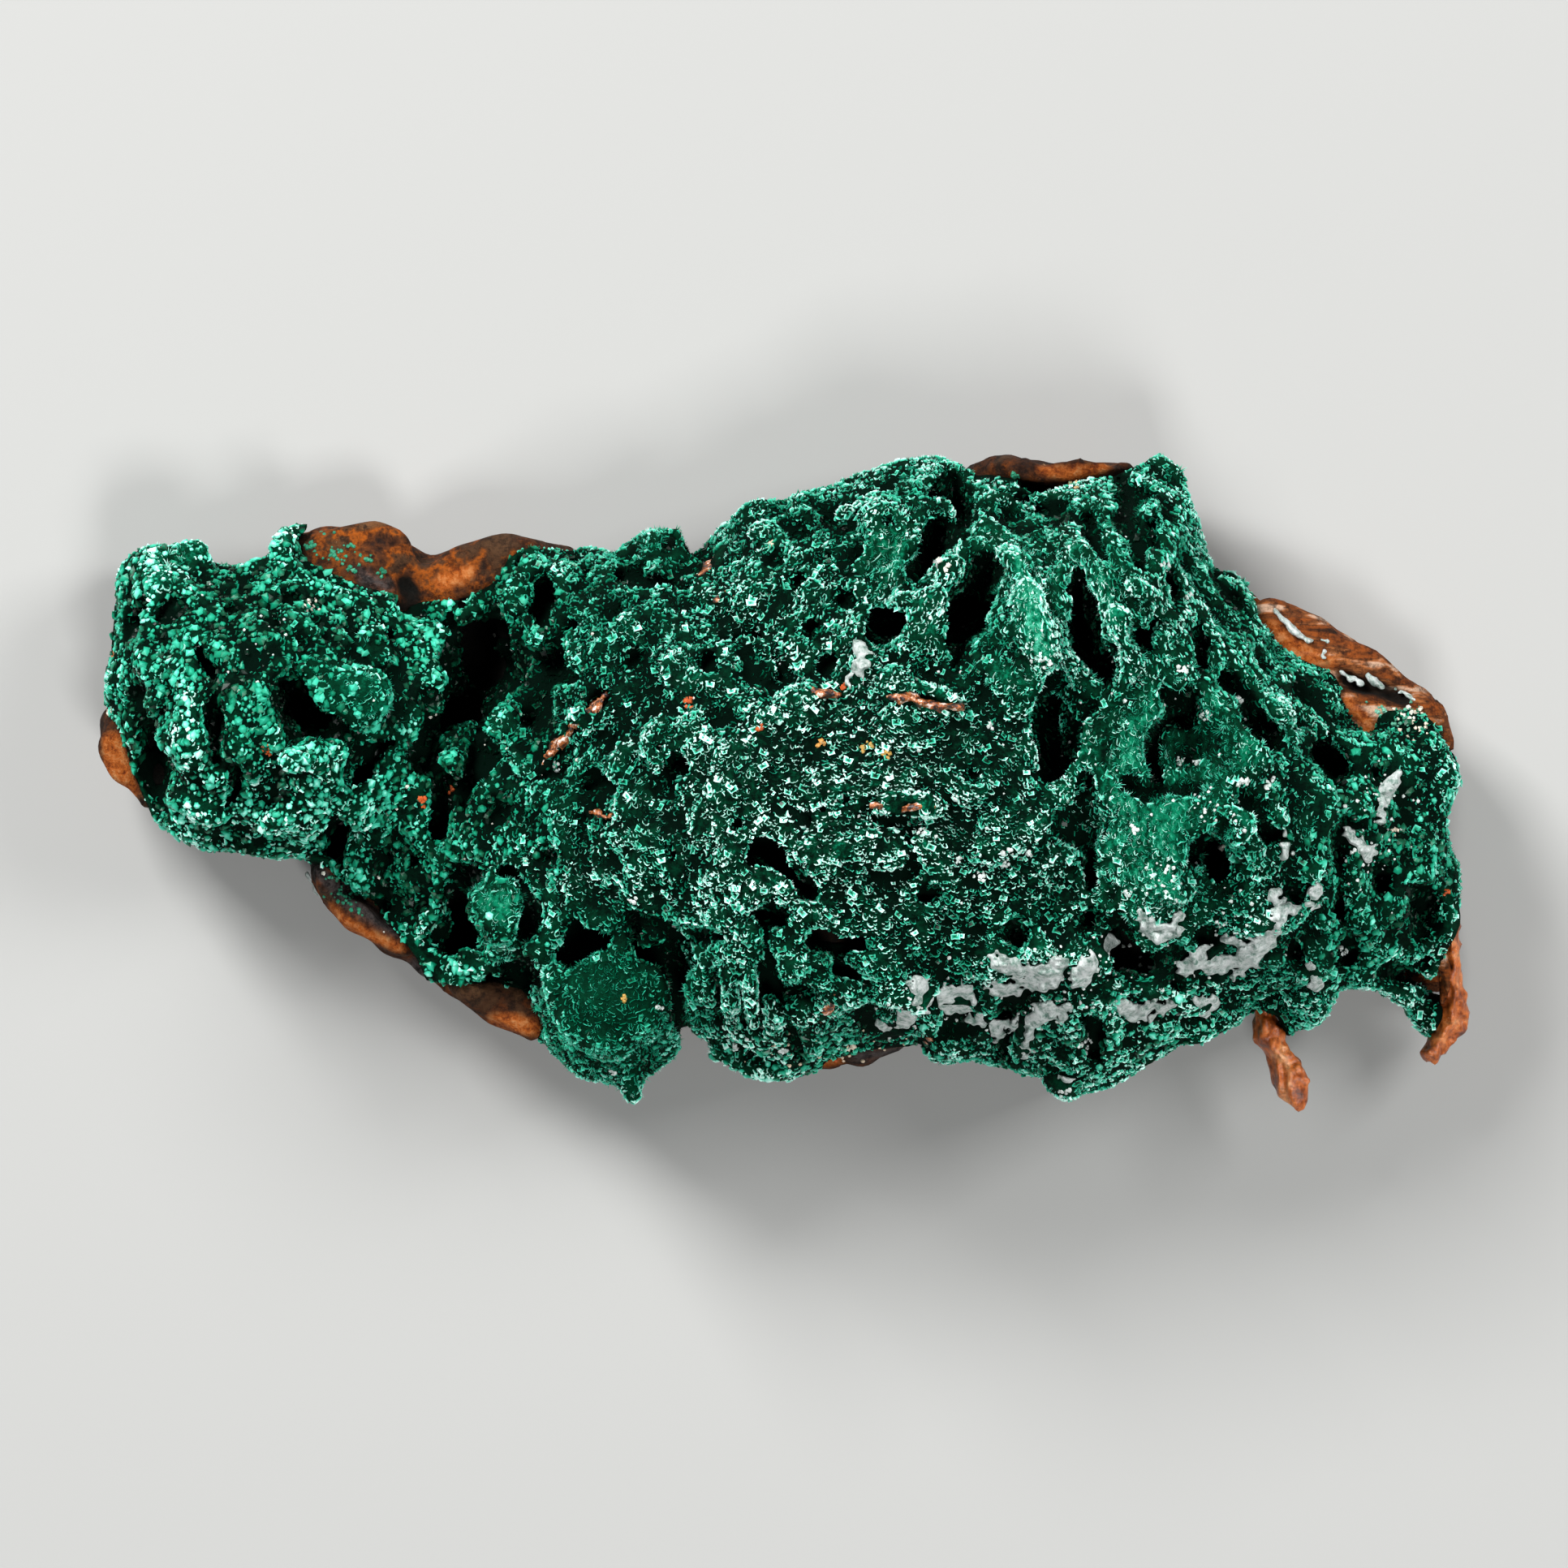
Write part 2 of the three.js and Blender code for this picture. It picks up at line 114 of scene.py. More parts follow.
def cloud(period, seed, stretch=(1, 1, 1)):
    """Smooth noise with a spread of one, whose lumps are about one period in mm across."""
    rng = np.random.default_rng(seed)
    periods = [period * s for s in stretch]
    lattice = [int(n * CELL / p) + 6 for n, p in zip(CELLS, periods)]
    values = rng.standard_normal(lattice).astype(np.float32)
    for axis in range(3):
        weights = spline_weights(CELLS[axis], lattice[axis], periods[axis], rng.random())
        values = np.moveaxis(np.tensordot(weights, values, axes=(1, axis)), 0, axis)
    return values / values.std()


# Noise for the walls of holes and the sides of fins
wobble = 1.5 * cloud(1.5, seed=11) + 0.9 * cloud(0.9, seed=12)
print("the noise spreads by", round(float(wobble.std()), 2), "and runs up to", round(float(wobble.max()), 1))

# %% [markdown]
# ## The malachite druse
#
# Malachite coated the barite's blades from all sides, so the front is a crust of lumps, fins and balls, with
# dark gaps between one coated blade and the next. The solid gives the large swells. What the eye reads as
# malachite is finer: knobs of one to four millimetres, and gaps whose walls drop steeply.
#
# It could be shaped with sculpting brushes. Lists of paths are easier to read, to change and to repeat: a
# path in plan has a half width at each of its points, so that it bends as the gap between two blades does.
# A path's heights are measured from the surface, so the first step is to look down on it.

# %% Looking down on the field
def crown_of(field):
    """Height of the topmost surface over each column of cells, and zero where there is none."""
    inside = field < 0
    top = np.minimum(CELLS[2] - 1 - np.argmax(inside[:, :, ::-1], axis=2), CELLS[2] - 2)
    below = np.take_along_axis(field, top[..., None], 2)[..., 0]
    above = np.take_along_axis(field, top[..., None] + 1, 2)[..., 0]
    height = Z[top] - CELL * below / np.maximum(above - below, 1e-6)
    return np.where(inside.any(axis=2), height, 0.0).astype(np.float32)


def beside(path, x=X[:, None], y=Y[None, :]):
    """How far each place lies outside a path's edge in plan, and the path's half width there."""
    edge = np.full(np.broadcast(x, y).shape, 1e3, dtype=np.float32)
    half = np.ones_like(edge)
    for (ax, ay, ar), (bx, by, br) in zip(path, path[1:] or path):
        dx, dy = bx - ax, by - ay
        length = max(dx * dx + dy * dy, 1e-9)
        t = np.clip(((x - ax) * dx + (y - ay) * dy) / length, 0, 1)
        width = ar + t * (br - ar)
        distance = np.hypot(x - ax - t * dx, y - ay - t * dy) - width
        half = np.where(distance < edge, width, half)
        edge = np.minimum(edge, distance)
    return edge, half


def nearest(paths, x=X[:, None], y=Y[None, :]):
    """How far each place lies outside the nearest of several paths."""
    return np.minimum.reduce([beside(path, x, y)[0] for path in paths])


def window(edge, reach):
    """The slices of the grid that hold every column nearer than the reach."""
    columns, rows = np.nonzero(edge < reach)
    return slice(columns.min(), columns.max() + 1), slice(rows.min(), rows.max() + 1)


top = soften(crown_of(np.minimum(druse, stone)), 3)
print("height over the floor:", round(float(top.max()), 1), "mm")

# %% [markdown]
# ## Holes
#
# The holes are what is left open between coated blades. They could be cut as plain cylinders, but a real
# gap is ragged, narrows towards its floor and turns a corner. So each one is carved along its path with
# noise on its walls. All holes go into one field of their own, pits, which is cut from the malachite
# later, after its surface has been raised. It also tells the finish how deep a place lies.

# %% A hole along a path
FAR = 9.0  # mm, what the field holds where there is no hole
WIDER = 0.3  # mm, how far a hole reaches past the edge of its path


def carve(pits, top, path, depth, ragged=0.46):
    """Adds a hole along a path. It narrows towards its floor, and its walls are ragged."""
    edge, half = beside(path)
    where = window(edge, 3)
    sunk = (top[where][..., None] - Z) / depth
    narrowed = half[where][..., None] * (1 - np.sqrt(1 - np.clip(sunk, 0, 1) ** 2))
    rough = ragged * np.minimum(half[where] / 1.1, 1)[..., None] * wobble[where]
    pit = edge[where][..., None] + narrowed + depth * np.clip(sunk - 1, 0, None) + rough - WIDER
    pits[where] = np.minimum(pits[where], pit)


pits = np.full(CELLS, FAR, dtype=np.float32)
print("an empty field for the holes:", pits.shape)

# %% Gaps that reach the barite, in mm
# A point of a path is x, y and the half width there.
DEEP = (
    [(-21.3, 13.0, 0.3), (-21.2, 10.8, 1.6), (-21.6, 8.4, 3.0), (-23.4, 6.0, 2.2), (-24.4, 4.0, 1.4)],
    [(-23.6, -6.9, 0.5), (-23.8, -8.8, 0.9), (-23.5, -10.4, 1.3), (-23.8, -11.8, 0.6)],
    [(-36.4, 7.4, 0.4), (-35.2, 6.4, 0.9), (-34.6, 5.0, 0.8), (-33.5, 4.0, 0.8), (-33.2, 3.2, 0.4)],
    [(-31.3, 1.2, 0.9), (-30.1, 1.0, 1.0), (-30.8, -1.0, 1.0)],
    [(-32.5, -3.7, 1.0), (-33.4, -5.2, 1.1)],
    [(-2.0, -4.6, 0.7), (-0.6, -5.4, 0.8), (0.6, -6.6, 0.6), (1.9, -8.0, 0.3)],
    [(-3.2, -9.4, 0.4), (-1.4, -9.8, 0.7), (-0.2, -10.2, 0.5)],
    [(10.8, 20.6, 0.3), (11.2, 18.2, 1.0), (10.4, 16.6, 0.9), (9.8, 15.3, 0.6)],
    [(12.3, 21.9, 0.3), (12.4, 21.0, 0.6), (12.9, 19.0, 0.5)],
    [(15.9, 19.7, 0.8), (17.6, 19.8, 1.1), (19.3, 20.0, 1.1)],
    [(14.5, 14.7, 0.8), (13.3, 13.0, 0.8), (12.2, 10.9, 1.1)], [(14.6, 12.9, 0.6), (15.2, 11.6, 0.9)],
    [(21.4, 15.4, 0.4), (21.2, 13.2, 1.0), (21.7, 10.5, 1.5), (23.4, 8.2, 0.9)],
    [(19.8, 7.6, 0.4), (19.5, 5.6, 1.0), (19.6, 3.5, 1.1), (19.0, 1.1, 0.9)],
    [(31.0, -4.4, 1.2), (31.3, -6.0, 1.3), (31.6, -7.7, 1.0)],
    [(-10.2, -12.4, 0.4), (-8.8, -12.7, 0.7), (-8.3, -14.0, 0.6), (-7.8, -15.4, 0.3), (-7.5, -17.6, 0.4)],
    [(-11.0, -9.2, 0.3), (-10.8, -10.8, 0.9), (-10.9, -12.0, 0.4)],
    [(6.7, 11.0, 0.6), (7.6, 11.1, 0.8), (8.4, 11.8, 0.5)],
    [(24.5, -11.4, 0.9), (25.0, -12.6, 1.0)],
    [(38.5, 2.2, 0.6), (39.4, 1.9, 0.8), (40.3, 1.1, 0.6)],
)
DEEP_FLOOR = 8.0  # mm below the surface
for path in DEEP:
    carve(pits, top, path, DEEP_FLOOR)
print("deep gaps:", len(DEEP), "cells in them:", int((pits < 0).sum()))

# %% Shallower gaps and slits, in mm
MIDDLING = (
    [(-44.8, 5.4, 0.5), (-45.5, 3.8, 0.9), (-45.3, 0.4, 0.8), (-45.3, -1.5, 0.5)],
    [(-42.4, 9.6, 0.3), (-41.1, 7.7, 0.4), (-41.1, 4.9, 0.4), (-41.4, 1.7, 0.3)],
    [(-25.8, 1.65, 0.7)],
    [(-21.9, 1.9, 1.3)],
    [(-24.8, 0.7, 0.4), (-25.0, -4.0, 0.5)],
    [(-22.9, 0.0, 0.3), (-23.0, -2.0, 0.3)],
    [(24.4, 18.9, 0.25), (25.1, 17.2, 0.45), (25.6, 15.7, 0.3)],
    [(26.5, 18.8, 0.2), (26.9, 17.2, 0.35)],
    [(22.0, 19.0, 0.2), (22.4, 17.2, 0.35), (23.2, 15.7, 0.3)],
    [(27.6, 14.8, 0.3), (28.2, 12.9, 0.35)],
    [(24.4, 21.8, 0.25), (26.0, 20.5, 0.3)],
    [(31.0, 15.2, 0.3), (32.8, 13.2, 0.3)],
    [(25.7, 12.9, 0.25), (26.7, 11.3, 0.3)],
    [(29.4, 9.8, 0.35), (30.3, 8.4, 0.3)],
    [(-16.5, 9.0, 0.5), (-16.5, 8.0, 0.6)],
    [(-17.6, 5.7, 0.7), (-18.3, 4.3, 0.6)],
    [(-16.8, 11.6, 0.7)],
    [(-12.7, 14.4, 0.6), (-13.3, 12.8, 0.8)],
    [(-12.5, 14.6, 1.0), (-11.3, 15.2, 0.9)],
    [(-17.6, 14.4, 0.9), (-16.6, 12.9, 0.6)],
    [(-9.3, 14.4, 0.6), (-8.4, 14.0, 1.1), (-7.4, 15.6, 0.5), (-6.7, 17.4, 0.4)],
    [(21.9, -16.6, 0.4), (22.6, -17.8, 0.4), (22.5, -19.4, 0.4)],
    [(-39.7, 1.2, 0.1), (-39.4, -0.3, 0.25), (-40.6, -2.0, 0.1)],
    [(-20.2, -13.1, 0.8), (-18.7, -14.1, 0.8)],
    [(-14.8, -10.2, 0.5), (-14.8, -11.0, 0.6)],
    [(-15.5, -13.2, 0.3), (-14.9, -12.0, 0.4), (-12.8, -11.3, 0.4), (-11.3, -11.4, 0.4)],
    [(2.4, -11.1, 0.4), (3.9, -11.7, 0.45), (5.5, -11.5, 0.35)],
    [(4.0, -12.5, 0.3), (3.4, -13.6, 0.3), (5.0, -13.5, 0.2)],
    [(-1.4, -10.6, 0.5), (-1.3, -11.8, 0.7)],
    [(-4.8, -13.0, 0.0), (-4.6, -17.4, 0.05)],
    [(-3.1, -14.4, 0.0), (-2.9, -17.6, 0.05)],
    [(-0.8, -12.6, 0.1), (-0.5, -14.6, 0.15), (0.1, -16.4, 0.2), (0.7, -18.2, 0.25), (1.3, -20.0, 0.1)],
    [(-1.8, -13.2, 0.0), (-1.6, -15.5, 0.05), (-1.5, -17.8, 0.0)],
    [(16.2, -16.0, 0.3), (15.9, -18.0, 0.4), (16.1, -20.0, 0.3)],
    [(22.1, 0.6, 0.25), (22.0, -0.4, 0.1)],
    [(22.1, -4.8, 0.1), (22.2, -6.6, 0.4), (22.2, -7.6, 0.1)],
    [(22.1, -9.6, 0.2), (22.1, -10.2, 0.2)],
    [(25.5, 10.7, 0.4), (26.4, 9.4, 0.45), (26.8, 7.7, 0.4), (27.7, 6.0, 0.35)],
    [(25.3, 20.7, 0.5), (24.7, 19.0, 0.5)],
    [(31.8, 7.2, 0.5), (32.7, 6.4, 0.5), (35.0, 3.8, 0.6), (35.4, 3.1, 0.5)],
    [(29.0, 6.6, 0.3), (29.2, 5.4, 0.5), (28.7, 4.4, 0.4)],
    [(27.6, 4.6, 0.1), (26.5, 3.2, 0.25), (26.4, 1.6, 0.3), (27.1, 0.2, 0.2)],
    [(29.6, 11.0, 0.5), (30.3, 9.9, 0.5)],
    [(40.1, -4.6, 0.2), (40.3, -7.0, 0.2), (40.3, -9.4, 0.2)],
    [(43.2, -6.8, 0.5), (43.4, -7.6, 0.5)],
    [(46.3, -8.3, 0.6), (46.3, -11.2, 0.6)],
    [(43.8, -14.1, 0.6), (45.0, -14.1, 0.5)],
    [(37.2, -12.0, 0.6)],
    [(41.0, -12.4, 0.6)],
    [(11.8, -12.0, 0.5)],
    [(16.8, -10.6, 0.55)],
    [(9.6, -8.4, 0.35), (10.6, -8.2, 0.4)],
    [(9.7, -19.4, 0.6), (9.7, -20.6, 0.7)],
    [(30.3, -10.9, 0.5)],
)
MIDDLING_FLOOR = 4.5  # mm below the surface
for path in MIDDLING:
    carve(pits, top, path, MIDDLING_FLOOR)
print("shallower gaps:", len(MIDDLING), "cells in the holes:", int((pits < 0).sum()))

# %% Dimples between the knobs: x, y and radius in mm
SMALL = (
    (-45.3, 12.2, 0.6), (-47.0, 10.8, 0.25), (-46.8, 6.3, 0.5), (-40.4, -1.8, 0.35), (-30.2, 11.5, 0.5),
    (-29.4, 10.0, 0.6), (-38.6, 11.5, 0.45), (-35.9, 13.0, 0.4), (-32.3, 10.9, 0.5), (-40.1, 12.2, 0.35),
    (-27.8, 8.8, 0.6), (-15.0, 7.4, 0.4), (-17.4, 14.5, 0.6), (-18.0, 13.1, 0.5), (-14.8, 11.0, 0.6),
    (-18.8, -8.5, 0.35), (-20.2, -6.6, 0.5), (-20.6, -2.0, 0.5), (-26.4, -5.3, 0.4), (-28.3, -3.4, 0.5),
    (-17.0, -5.3, 0.2), (-14.0, -1.6, 0.4), (-5.3, 8.7, 0.5), (-2.5, 8.9, 0.5), (-6.9, 6.9, 0.6),
    (-7.5, 6.0, 0.4), (-7.8, 1.4, 0.4), (-8.7, -0.2, 0.3), (-10.0, 1.6, 0.3), (-9.0, 2.4, 0.3),
    (-27.1, 13.4, 0.5), (0.2, 20.0, 0.5), (2.3, 20.3, 0.3), (7.6, 20.9, 0.5), (10.5, 20.3, 0.3),
    (-13.4, 5.9, 0.4), (26.7, 17.5, 0.3), (45.9, -11.6, 0.5), (36.9, -7.9, 0.3), (13.4, 0.9, 0.3),
    (-17.0, 9.9, 0.3), (1.3, -14.2, 0.4), (4.4, -13.8, 0.4), (-4.6, 1.1, 0.7), (4.3, -1.3, 0.25),
    (-3.3, -3.0, 0.3), (-5.2, 4.1, 0.5), (-8.6, 3.8, 0.45), (-13.0, -0.8, 0.5), (-7.9, -5.4, 0.5),
    (-10.2, 8.9, 0.6), (4.5, 13.0, 0.5), (5.2, 18.4, 0.85), (7.5, 19.0, 0.7), (2.0, 11.0, 0.3),
    (2.9, 7.9, 0.4), (1.2, 14.4, 0.5), (-0.4, 16.1, 0.3), (0.8, 17.8, 0.5), (8.8, 22.4, 0.3),
    (28.0, 19.4, 0.4), (33.3, 10.8, 0.5), (35.1, 9.0, 0.5), (20.2, -3.0, 0.5), (19.2, -1.8, 0.5),
    (19.9, -8.1, 0.4), (20.8, -6.4, 0.3), (24.8, -0.1, 0.35), (37.6, 6.3, 0.3), (39.2, 6.0, 0.2),
    (43.0, 0.5, 0.5), (40.8, -2.9, 0.5), (34.9, -1.7, 0.6), (34.7, -3.7, 0.5), (-6.0, -11.0, 0.45),
    (-1.5, -11.8, 0.5), (-3.3, -10.6, 0.4), (-8.2, -10.8, 0.35), (10.0, -13.8, 0.45), (11.3, -14.7, 0.4),
    (5.8, -16.3, 0.3), (6.0, -17.3, 0.45), (17.1, -15.2, 0.55), (-6.2, 16.2, 0.6), (22.1, -10.4, 0.3),
    (28.3, -13.5, 0.6), (-11.6, -9.6, 0.5), (-39.6, 6.7, 0.5), (-28.8, 10.2, 0.5), (12.6, -17.6, 0.5),
)
for x, y, radius in SMALL:
    carve(pits, top, [(x, y, radius)], 1.4 + 2.0 * radius, ragged=0.85)
print("dimples:", len(SMALL), "cells in the holes:", int((pits < 0).sum()))

# %% Moats round the balls, and a shallow bowl
def arc(x, y, radius, start, stop, half):
    """A path round part of a ball, from one angle to another in degrees."""
    angles = np.radians(np.linspace(start, stop, 8))
    return [(x + radius * math.cos(a), y + radius * math.sin(a), half) for a in angles]


MOATS = (
    arc(-20.9, -8.8, 2.5, 120, 270, 0.4), arc(-20.9, -8.8, 2.6, -40, 70, 0.5),
    arc(-12.4, -15.6, 4.9, 55, 150, 0.3), arc(-12.4, -15.6, 5.0, -20, 50, 0.2),
    arc(14.8, 8.4, 2.5, 90, 190, 0.05), arc(28.0, -3.3, 2.8, 50, 130, 0.3),
    arc(-8.3, 17.0, 0.3, 0, 180, 0.4),
)
MOAT_FLOOR = 2.4  # mm below the surface
for path in MOATS:
    carve(pits, top, path, MOAT_FLOOR, ragged=0.5)
BOWL = [(29.4, 2.4, 2.6)]
BOWL_FLOOR = 1.2  # mm below the surface
carve(pits, top, BOWL, BOWL_FLOOR)
print("moats:", len(MOATS), "cells in the holes:", int((pits < 0).sum()))

# %% Where the barite's rims stay bare, in mm
# No hole reaches into a bare rim, and none cuts through the specimen's back.
BARE = (
    [(13.4, 23.3, 0.35), (16.0, 23.0, 0.6), (18.6, 22.8, 0.85), (20.8, 22.5, 1.15), (22.8, 22.9, 0.7),
     (26.5, 23.4, 0.25)],
    [(33.9, 14.9, 0.15), (35.3, 12.4, 0.8), (37.5, 10.8, 1.5), (39.8, 9.7, 1.4), (42.2, 8.3, 1.3),
     (44.7, 6.9, 1.0), (46.5, 5.9, 0.6), (47.7, 4.6, 0.35), (48.4, 2.8, 0.2)],
    [(41.1, 6.0, 0.35), (42.0, 5.0, 0.75), (42.7, 3.9, 0.45)],
    [(42.0, 6.6, 0.5), (43.6, 5.8, 0.45)],
    [(-34.2, 17.3, 1.2), (-31.8, 16.9, 1.5), (-29.2, 16.0, 1.8), (-26.6, 15.1, 1.8), (-24.2, 15.1, 1.7),
     (-22.0, 15.8, 1.5), (-20.9, 16.8, 0.7)],
    [(-21.0, 17.6, 0.35), (-18.0, 17.5, 0.3), (-15.0, 17.0, 0.25)],
    [(-49.2, 4.2, 0.3), (-48.9, 2.4, 0.85), (-48.2, 0.7, 0.8), (-47.3, -0.7, 0.4), (-46.3, -2.2, 0.2)],
    [(-34.5, -6.3, 0.5), (-33.4, -7.7, 0.8), (-32.0, -9.1, 0.8), (-30.3, -10.3, 0.7), (-28.6, -11.2, 0.5),
     (-27.3, -12.8, 0.5), (-26.6, -14.0, 0.4)],
    [(-22.9, -15.3, 0.35), (-21.2, -15.7, 1.1), (-19.6, -16.5, 1.4), (-18.2, -17.4, 0.9)],
    [(49.2, -11.4, 0.3), (49.4, -13.5, 0.6), (49.4, -15.6, 0.8), (48.8, -18.2, 1.0), (47.4, -19.8, 0.8)],
    [(-33.6, -6.4, 0.5), (-32.0, -8.1, 0.7), (-30.2, -9.5, 0.7), (-28.9, -10.5, 0.4)],
    [(3.0, -20.5, 0.3), (5.0, -20.2, 0.5), (7.0, -19.9, 0.6), (9.1, -19.8, 0.75)],
)
BACK = 2.5  # mm of stone that every hole leaves over the floor
bare = nearest(BARE)[..., None]
pits = np.maximum.reduce(np.broadcast_arrays(pits, BACK - Z, 2 - 4 * bare))
print("bare rims:", len(BARE), "cells in the holes:", int((pits < 0).sum()))

# %% [markdown]
# ## Plates, cracks and the seam
#
# Round the rim, the edges of single plates look out of the crust: bare barite in some places, a thin shelf
# of malachite in others. They could be solids of their own, but they are grown together with the rest, so
# each is a flat plate along a path, added to its mineral's field with a minimum.
#
# Malachite coats the walls of the deep holes too. That lining, the least coat over the barite and the
# narrow seam between the two minerals are all thin layers of space near a surface, so a few maximums of
# the fields that are already there give their shape.

# %% Where malachite covers the barite
COAT = 0.7  # mm, the least thickness of the malachite where there is any
# Where malachite also covers the left and right plates
COVER = ([(44.4, 4.8, 0.6), (45.6, 4.5, 1.1), (46.7, 3.4, 1.1)], [(-19.6, 16.0, 0.7), (-16.8, 16.1, 0.7)])
on_top = (crown_of(druse) >= crown_of(stone)) & (crown_of(druse) > 0)
covered = on_top | (pits.min(axis=2) < 0.5)
covered = (covered & (bare[..., 0] > 0)) | (nearest(COVER) < 0)
covered = soften(covered.astype(np.float32), 2)[..., None]
footprint = soften((druse < 0).any(axis=2).astype(np.float32), 40)
# How much of their height the knobs keep near the outline
inner = np.clip(2.2 * (footprint - 0.5), 0.25, 1)[..., None]
# How low the coat comes down at the sides, in mm, from one flat slice of noise
skirt = 3.5 + 1.6 * cloud(6.0, seed=26)[:, :, 12:13]
print("malachite covers", round(float(covered.mean()), 2), "of the grid's plan")

# %% Plates of the rims, in mm
# Paths along the outline where a plate of barite, or a shelf of malachite, looks out
RIM = 4.0  # mm, how thick the plates of the rim are
LOWEST = 1.2  # mm over the floor, under which no plate reaches
BARITE_RIMS = (
    [(-34.1, -6.4, 0.8), (-32.8, -8.7, 1.0), (-31.7, -9.9, 1.0), (-29.8, -10.8, 0.8), (-27.5, -12.0, 0.8),
     (-26.4, -13.6, 0.9)],
    [(-24.6, -14.3, 0.5), (-23.2, -15.4, 0.6), (-21.2, -16.0, 1.2), (-19.6, -16.5, 1.4),
     (-18.4, -17.4, 0.9)],
    [(-49.2, 4.2, 0.3), (-48.9, 2.4, 0.85), (-48.2, 0.7, 0.8), (-47.3, -0.7, 0.4), (-46.3, -2.2, 0.3)],
    [(48.4, -6.5, 0.5), (48.5, -9.5, 0.5), (48.4, -11.0, 0.4)],
    [(13.4, 23.2, 0.4), (16.6, 22.6, 0.8), (20.8, 22.4, 1.2), (23.0, 22.8, 0.8), (27.0, 23.1, 0.5)],
    [(-34.4, 18.1, 0.5), (-31.6, 18.2, 0.5), (-28.4, 17.8, 0.5), (-26.6, 17.0, 0.4)],
    [(3.0, -20.4, 0.4), (5.0, -20.1, 0.55), (7.0, -19.9, 0.6), (9.0, -19.7, 0.6)],
)
MALACHITE_RIMS = (
    [(45.6, -15.2, 1.0), (46.6, -16.8, 1.1), (47.0, -18.2, 0.7)],
    [(19.3, -20.4, 0.9), (19.9, -21.7, 1.1), (20.6, -22.6, 0.9)],
    [(-11.3, -20.8, 1.1), (-10.8, -23.0, 1.0)],
    [(-43.9, -3.7, 0.8), (-41.5, -4.4, 0.8), (-38.1, -4.85, 0.8), (-35.4, -5.1, 0.7)],
    [(-46.6, 17.0, 0.6), (-42.6, 17.0, 0.7)],
    [(-36.4, 18.2, 0.7), (-35.2, 18.2, 0.5)],
    [(-3.8, 19.4, 0.6), (-1.4, 20.3, 0.6)],
    [(33.6, 14.4, 0.5), (35.2, 13.3, 0.5)],
    [(26.2, 22.9, 0.8), (28.6, 22.7, 0.9)],
    [(-4.9, -19.7, 0.8), (-3.0, -20.6, 0.7), (0.6, -21.3, 0.8)],
    [(28.9, -18.8, 0.7), (31.5, -18.0, 0.7), (33.2, -16.9, 0.6)],
    [(-14.6, -21.2, 0.6), (-12.4, -21.4, 0.6)],
)
# What closes the notch beside the corner blade from below
UNDER_NOTCH = [(43.2, -13.9, 1.1), (45.4, -14.2, 1.2), (46.7, -14.6, 1.2), (47.3, -14.9, 1.2),
               (47.3, -13.2, 1.6)]


def add_ledge(field, path, low, high, rounding=0.7):
    """Adds a flat plate along a path, between two heights."""
    edge, half = beside(path)
    where = window(edge, 3)
    side = np.maximum(edge[where][..., None] + rounding, 0)
    face = np.maximum(np.abs(Z - (low + high) / 2) - (high - low) / 2 + rounding, 0)
    field[where] = np.minimum(field[where], np.hypot(side, face) - rounding + 0.1 * wobble[where])


for field, paths in ((stone, BARITE_RIMS), (druse, MALACHITE_RIMS)):
    for path in paths:
        beneath = top[beside(path)[0] < 1.0]
        high = float(np.percentile(beneath[beneath > 3], 60))
        add_ledge(field, path, max(high - RIM, LOWEST), high)
NOTCH_LOW, NOTCH_HIGH = 1.5, 3.5  # mm over the floor
add_ledge(stone, UNDER_NOTCH, NOTCH_LOW, NOTCH_HIGH)
print("plates of barite:", len(BARITE_RIMS) + 1, "plates of malachite:", len(MALACHITE_RIMS))

# %% Cracks, the seam between the minerals, and the coats
CREVICES = (
    [(40.8, 7.5, 0.1), (41.9, 6.95, 0.15), (42.8, 7.0, 0.15), (44.2, 6.4, 0.2), (45.3, 6.0, 0.1)],
    [(-27.6, 14.6, 0.3), (-27.2, 13.6, 0.4)],
)
CREVICE_FLOOR = 1.8  # mm below the surface
LINING = 0.8  # mm of malachite on the walls of a hole that reaches the barite
druse = np.maximum(druse, -bare)
crevices = np.full(CELLS, FAR, dtype=np.float32)
for path in CREVICES:
    carve(crevices, top, path, CREVICE_FLOOR)
stone = np.maximum(stone, -crevices)
whole = np.minimum(druse, stone)
# Where the two minerals lie close together, malachite closes the gap between them.
seam = np.maximum.reduce(np.broadcast_arrays(stone - 0.5, druse - 0.5, whole - 0.2, -bare))
above_skirt = np.maximum(skirt, 2.5) - Z
coat = np.maximum.reduce(np.broadcast_arrays(stone - COAT, -stone - 0.2, 1 - 2 * covered, above_skirt))
lining = np.maximum(pits - LINING, whole + 0.1)
print("cells in the cracks:", int((crevices < 0).sum()), "in the coat:", int((coat < 0).sum()))

# %% [markdown]
# ## Fins, balls and knobs
#
# A blade on edge that malachite has rounded looks like a fin, and a few free-standing growths are almost
# round balls. Everywhere else the crust swells into knobs. A bump texture would leave all their outlines
# flat, so they are raised in the field itself. Fins and balls are placed one by one.
#
# The knobs come from noise that is folded at zero, which leaves a sharp crease between one rounded knob and
# the next. They are lower near the outline, where the crust is thin, and almost gone where the malachite is
# velvet.

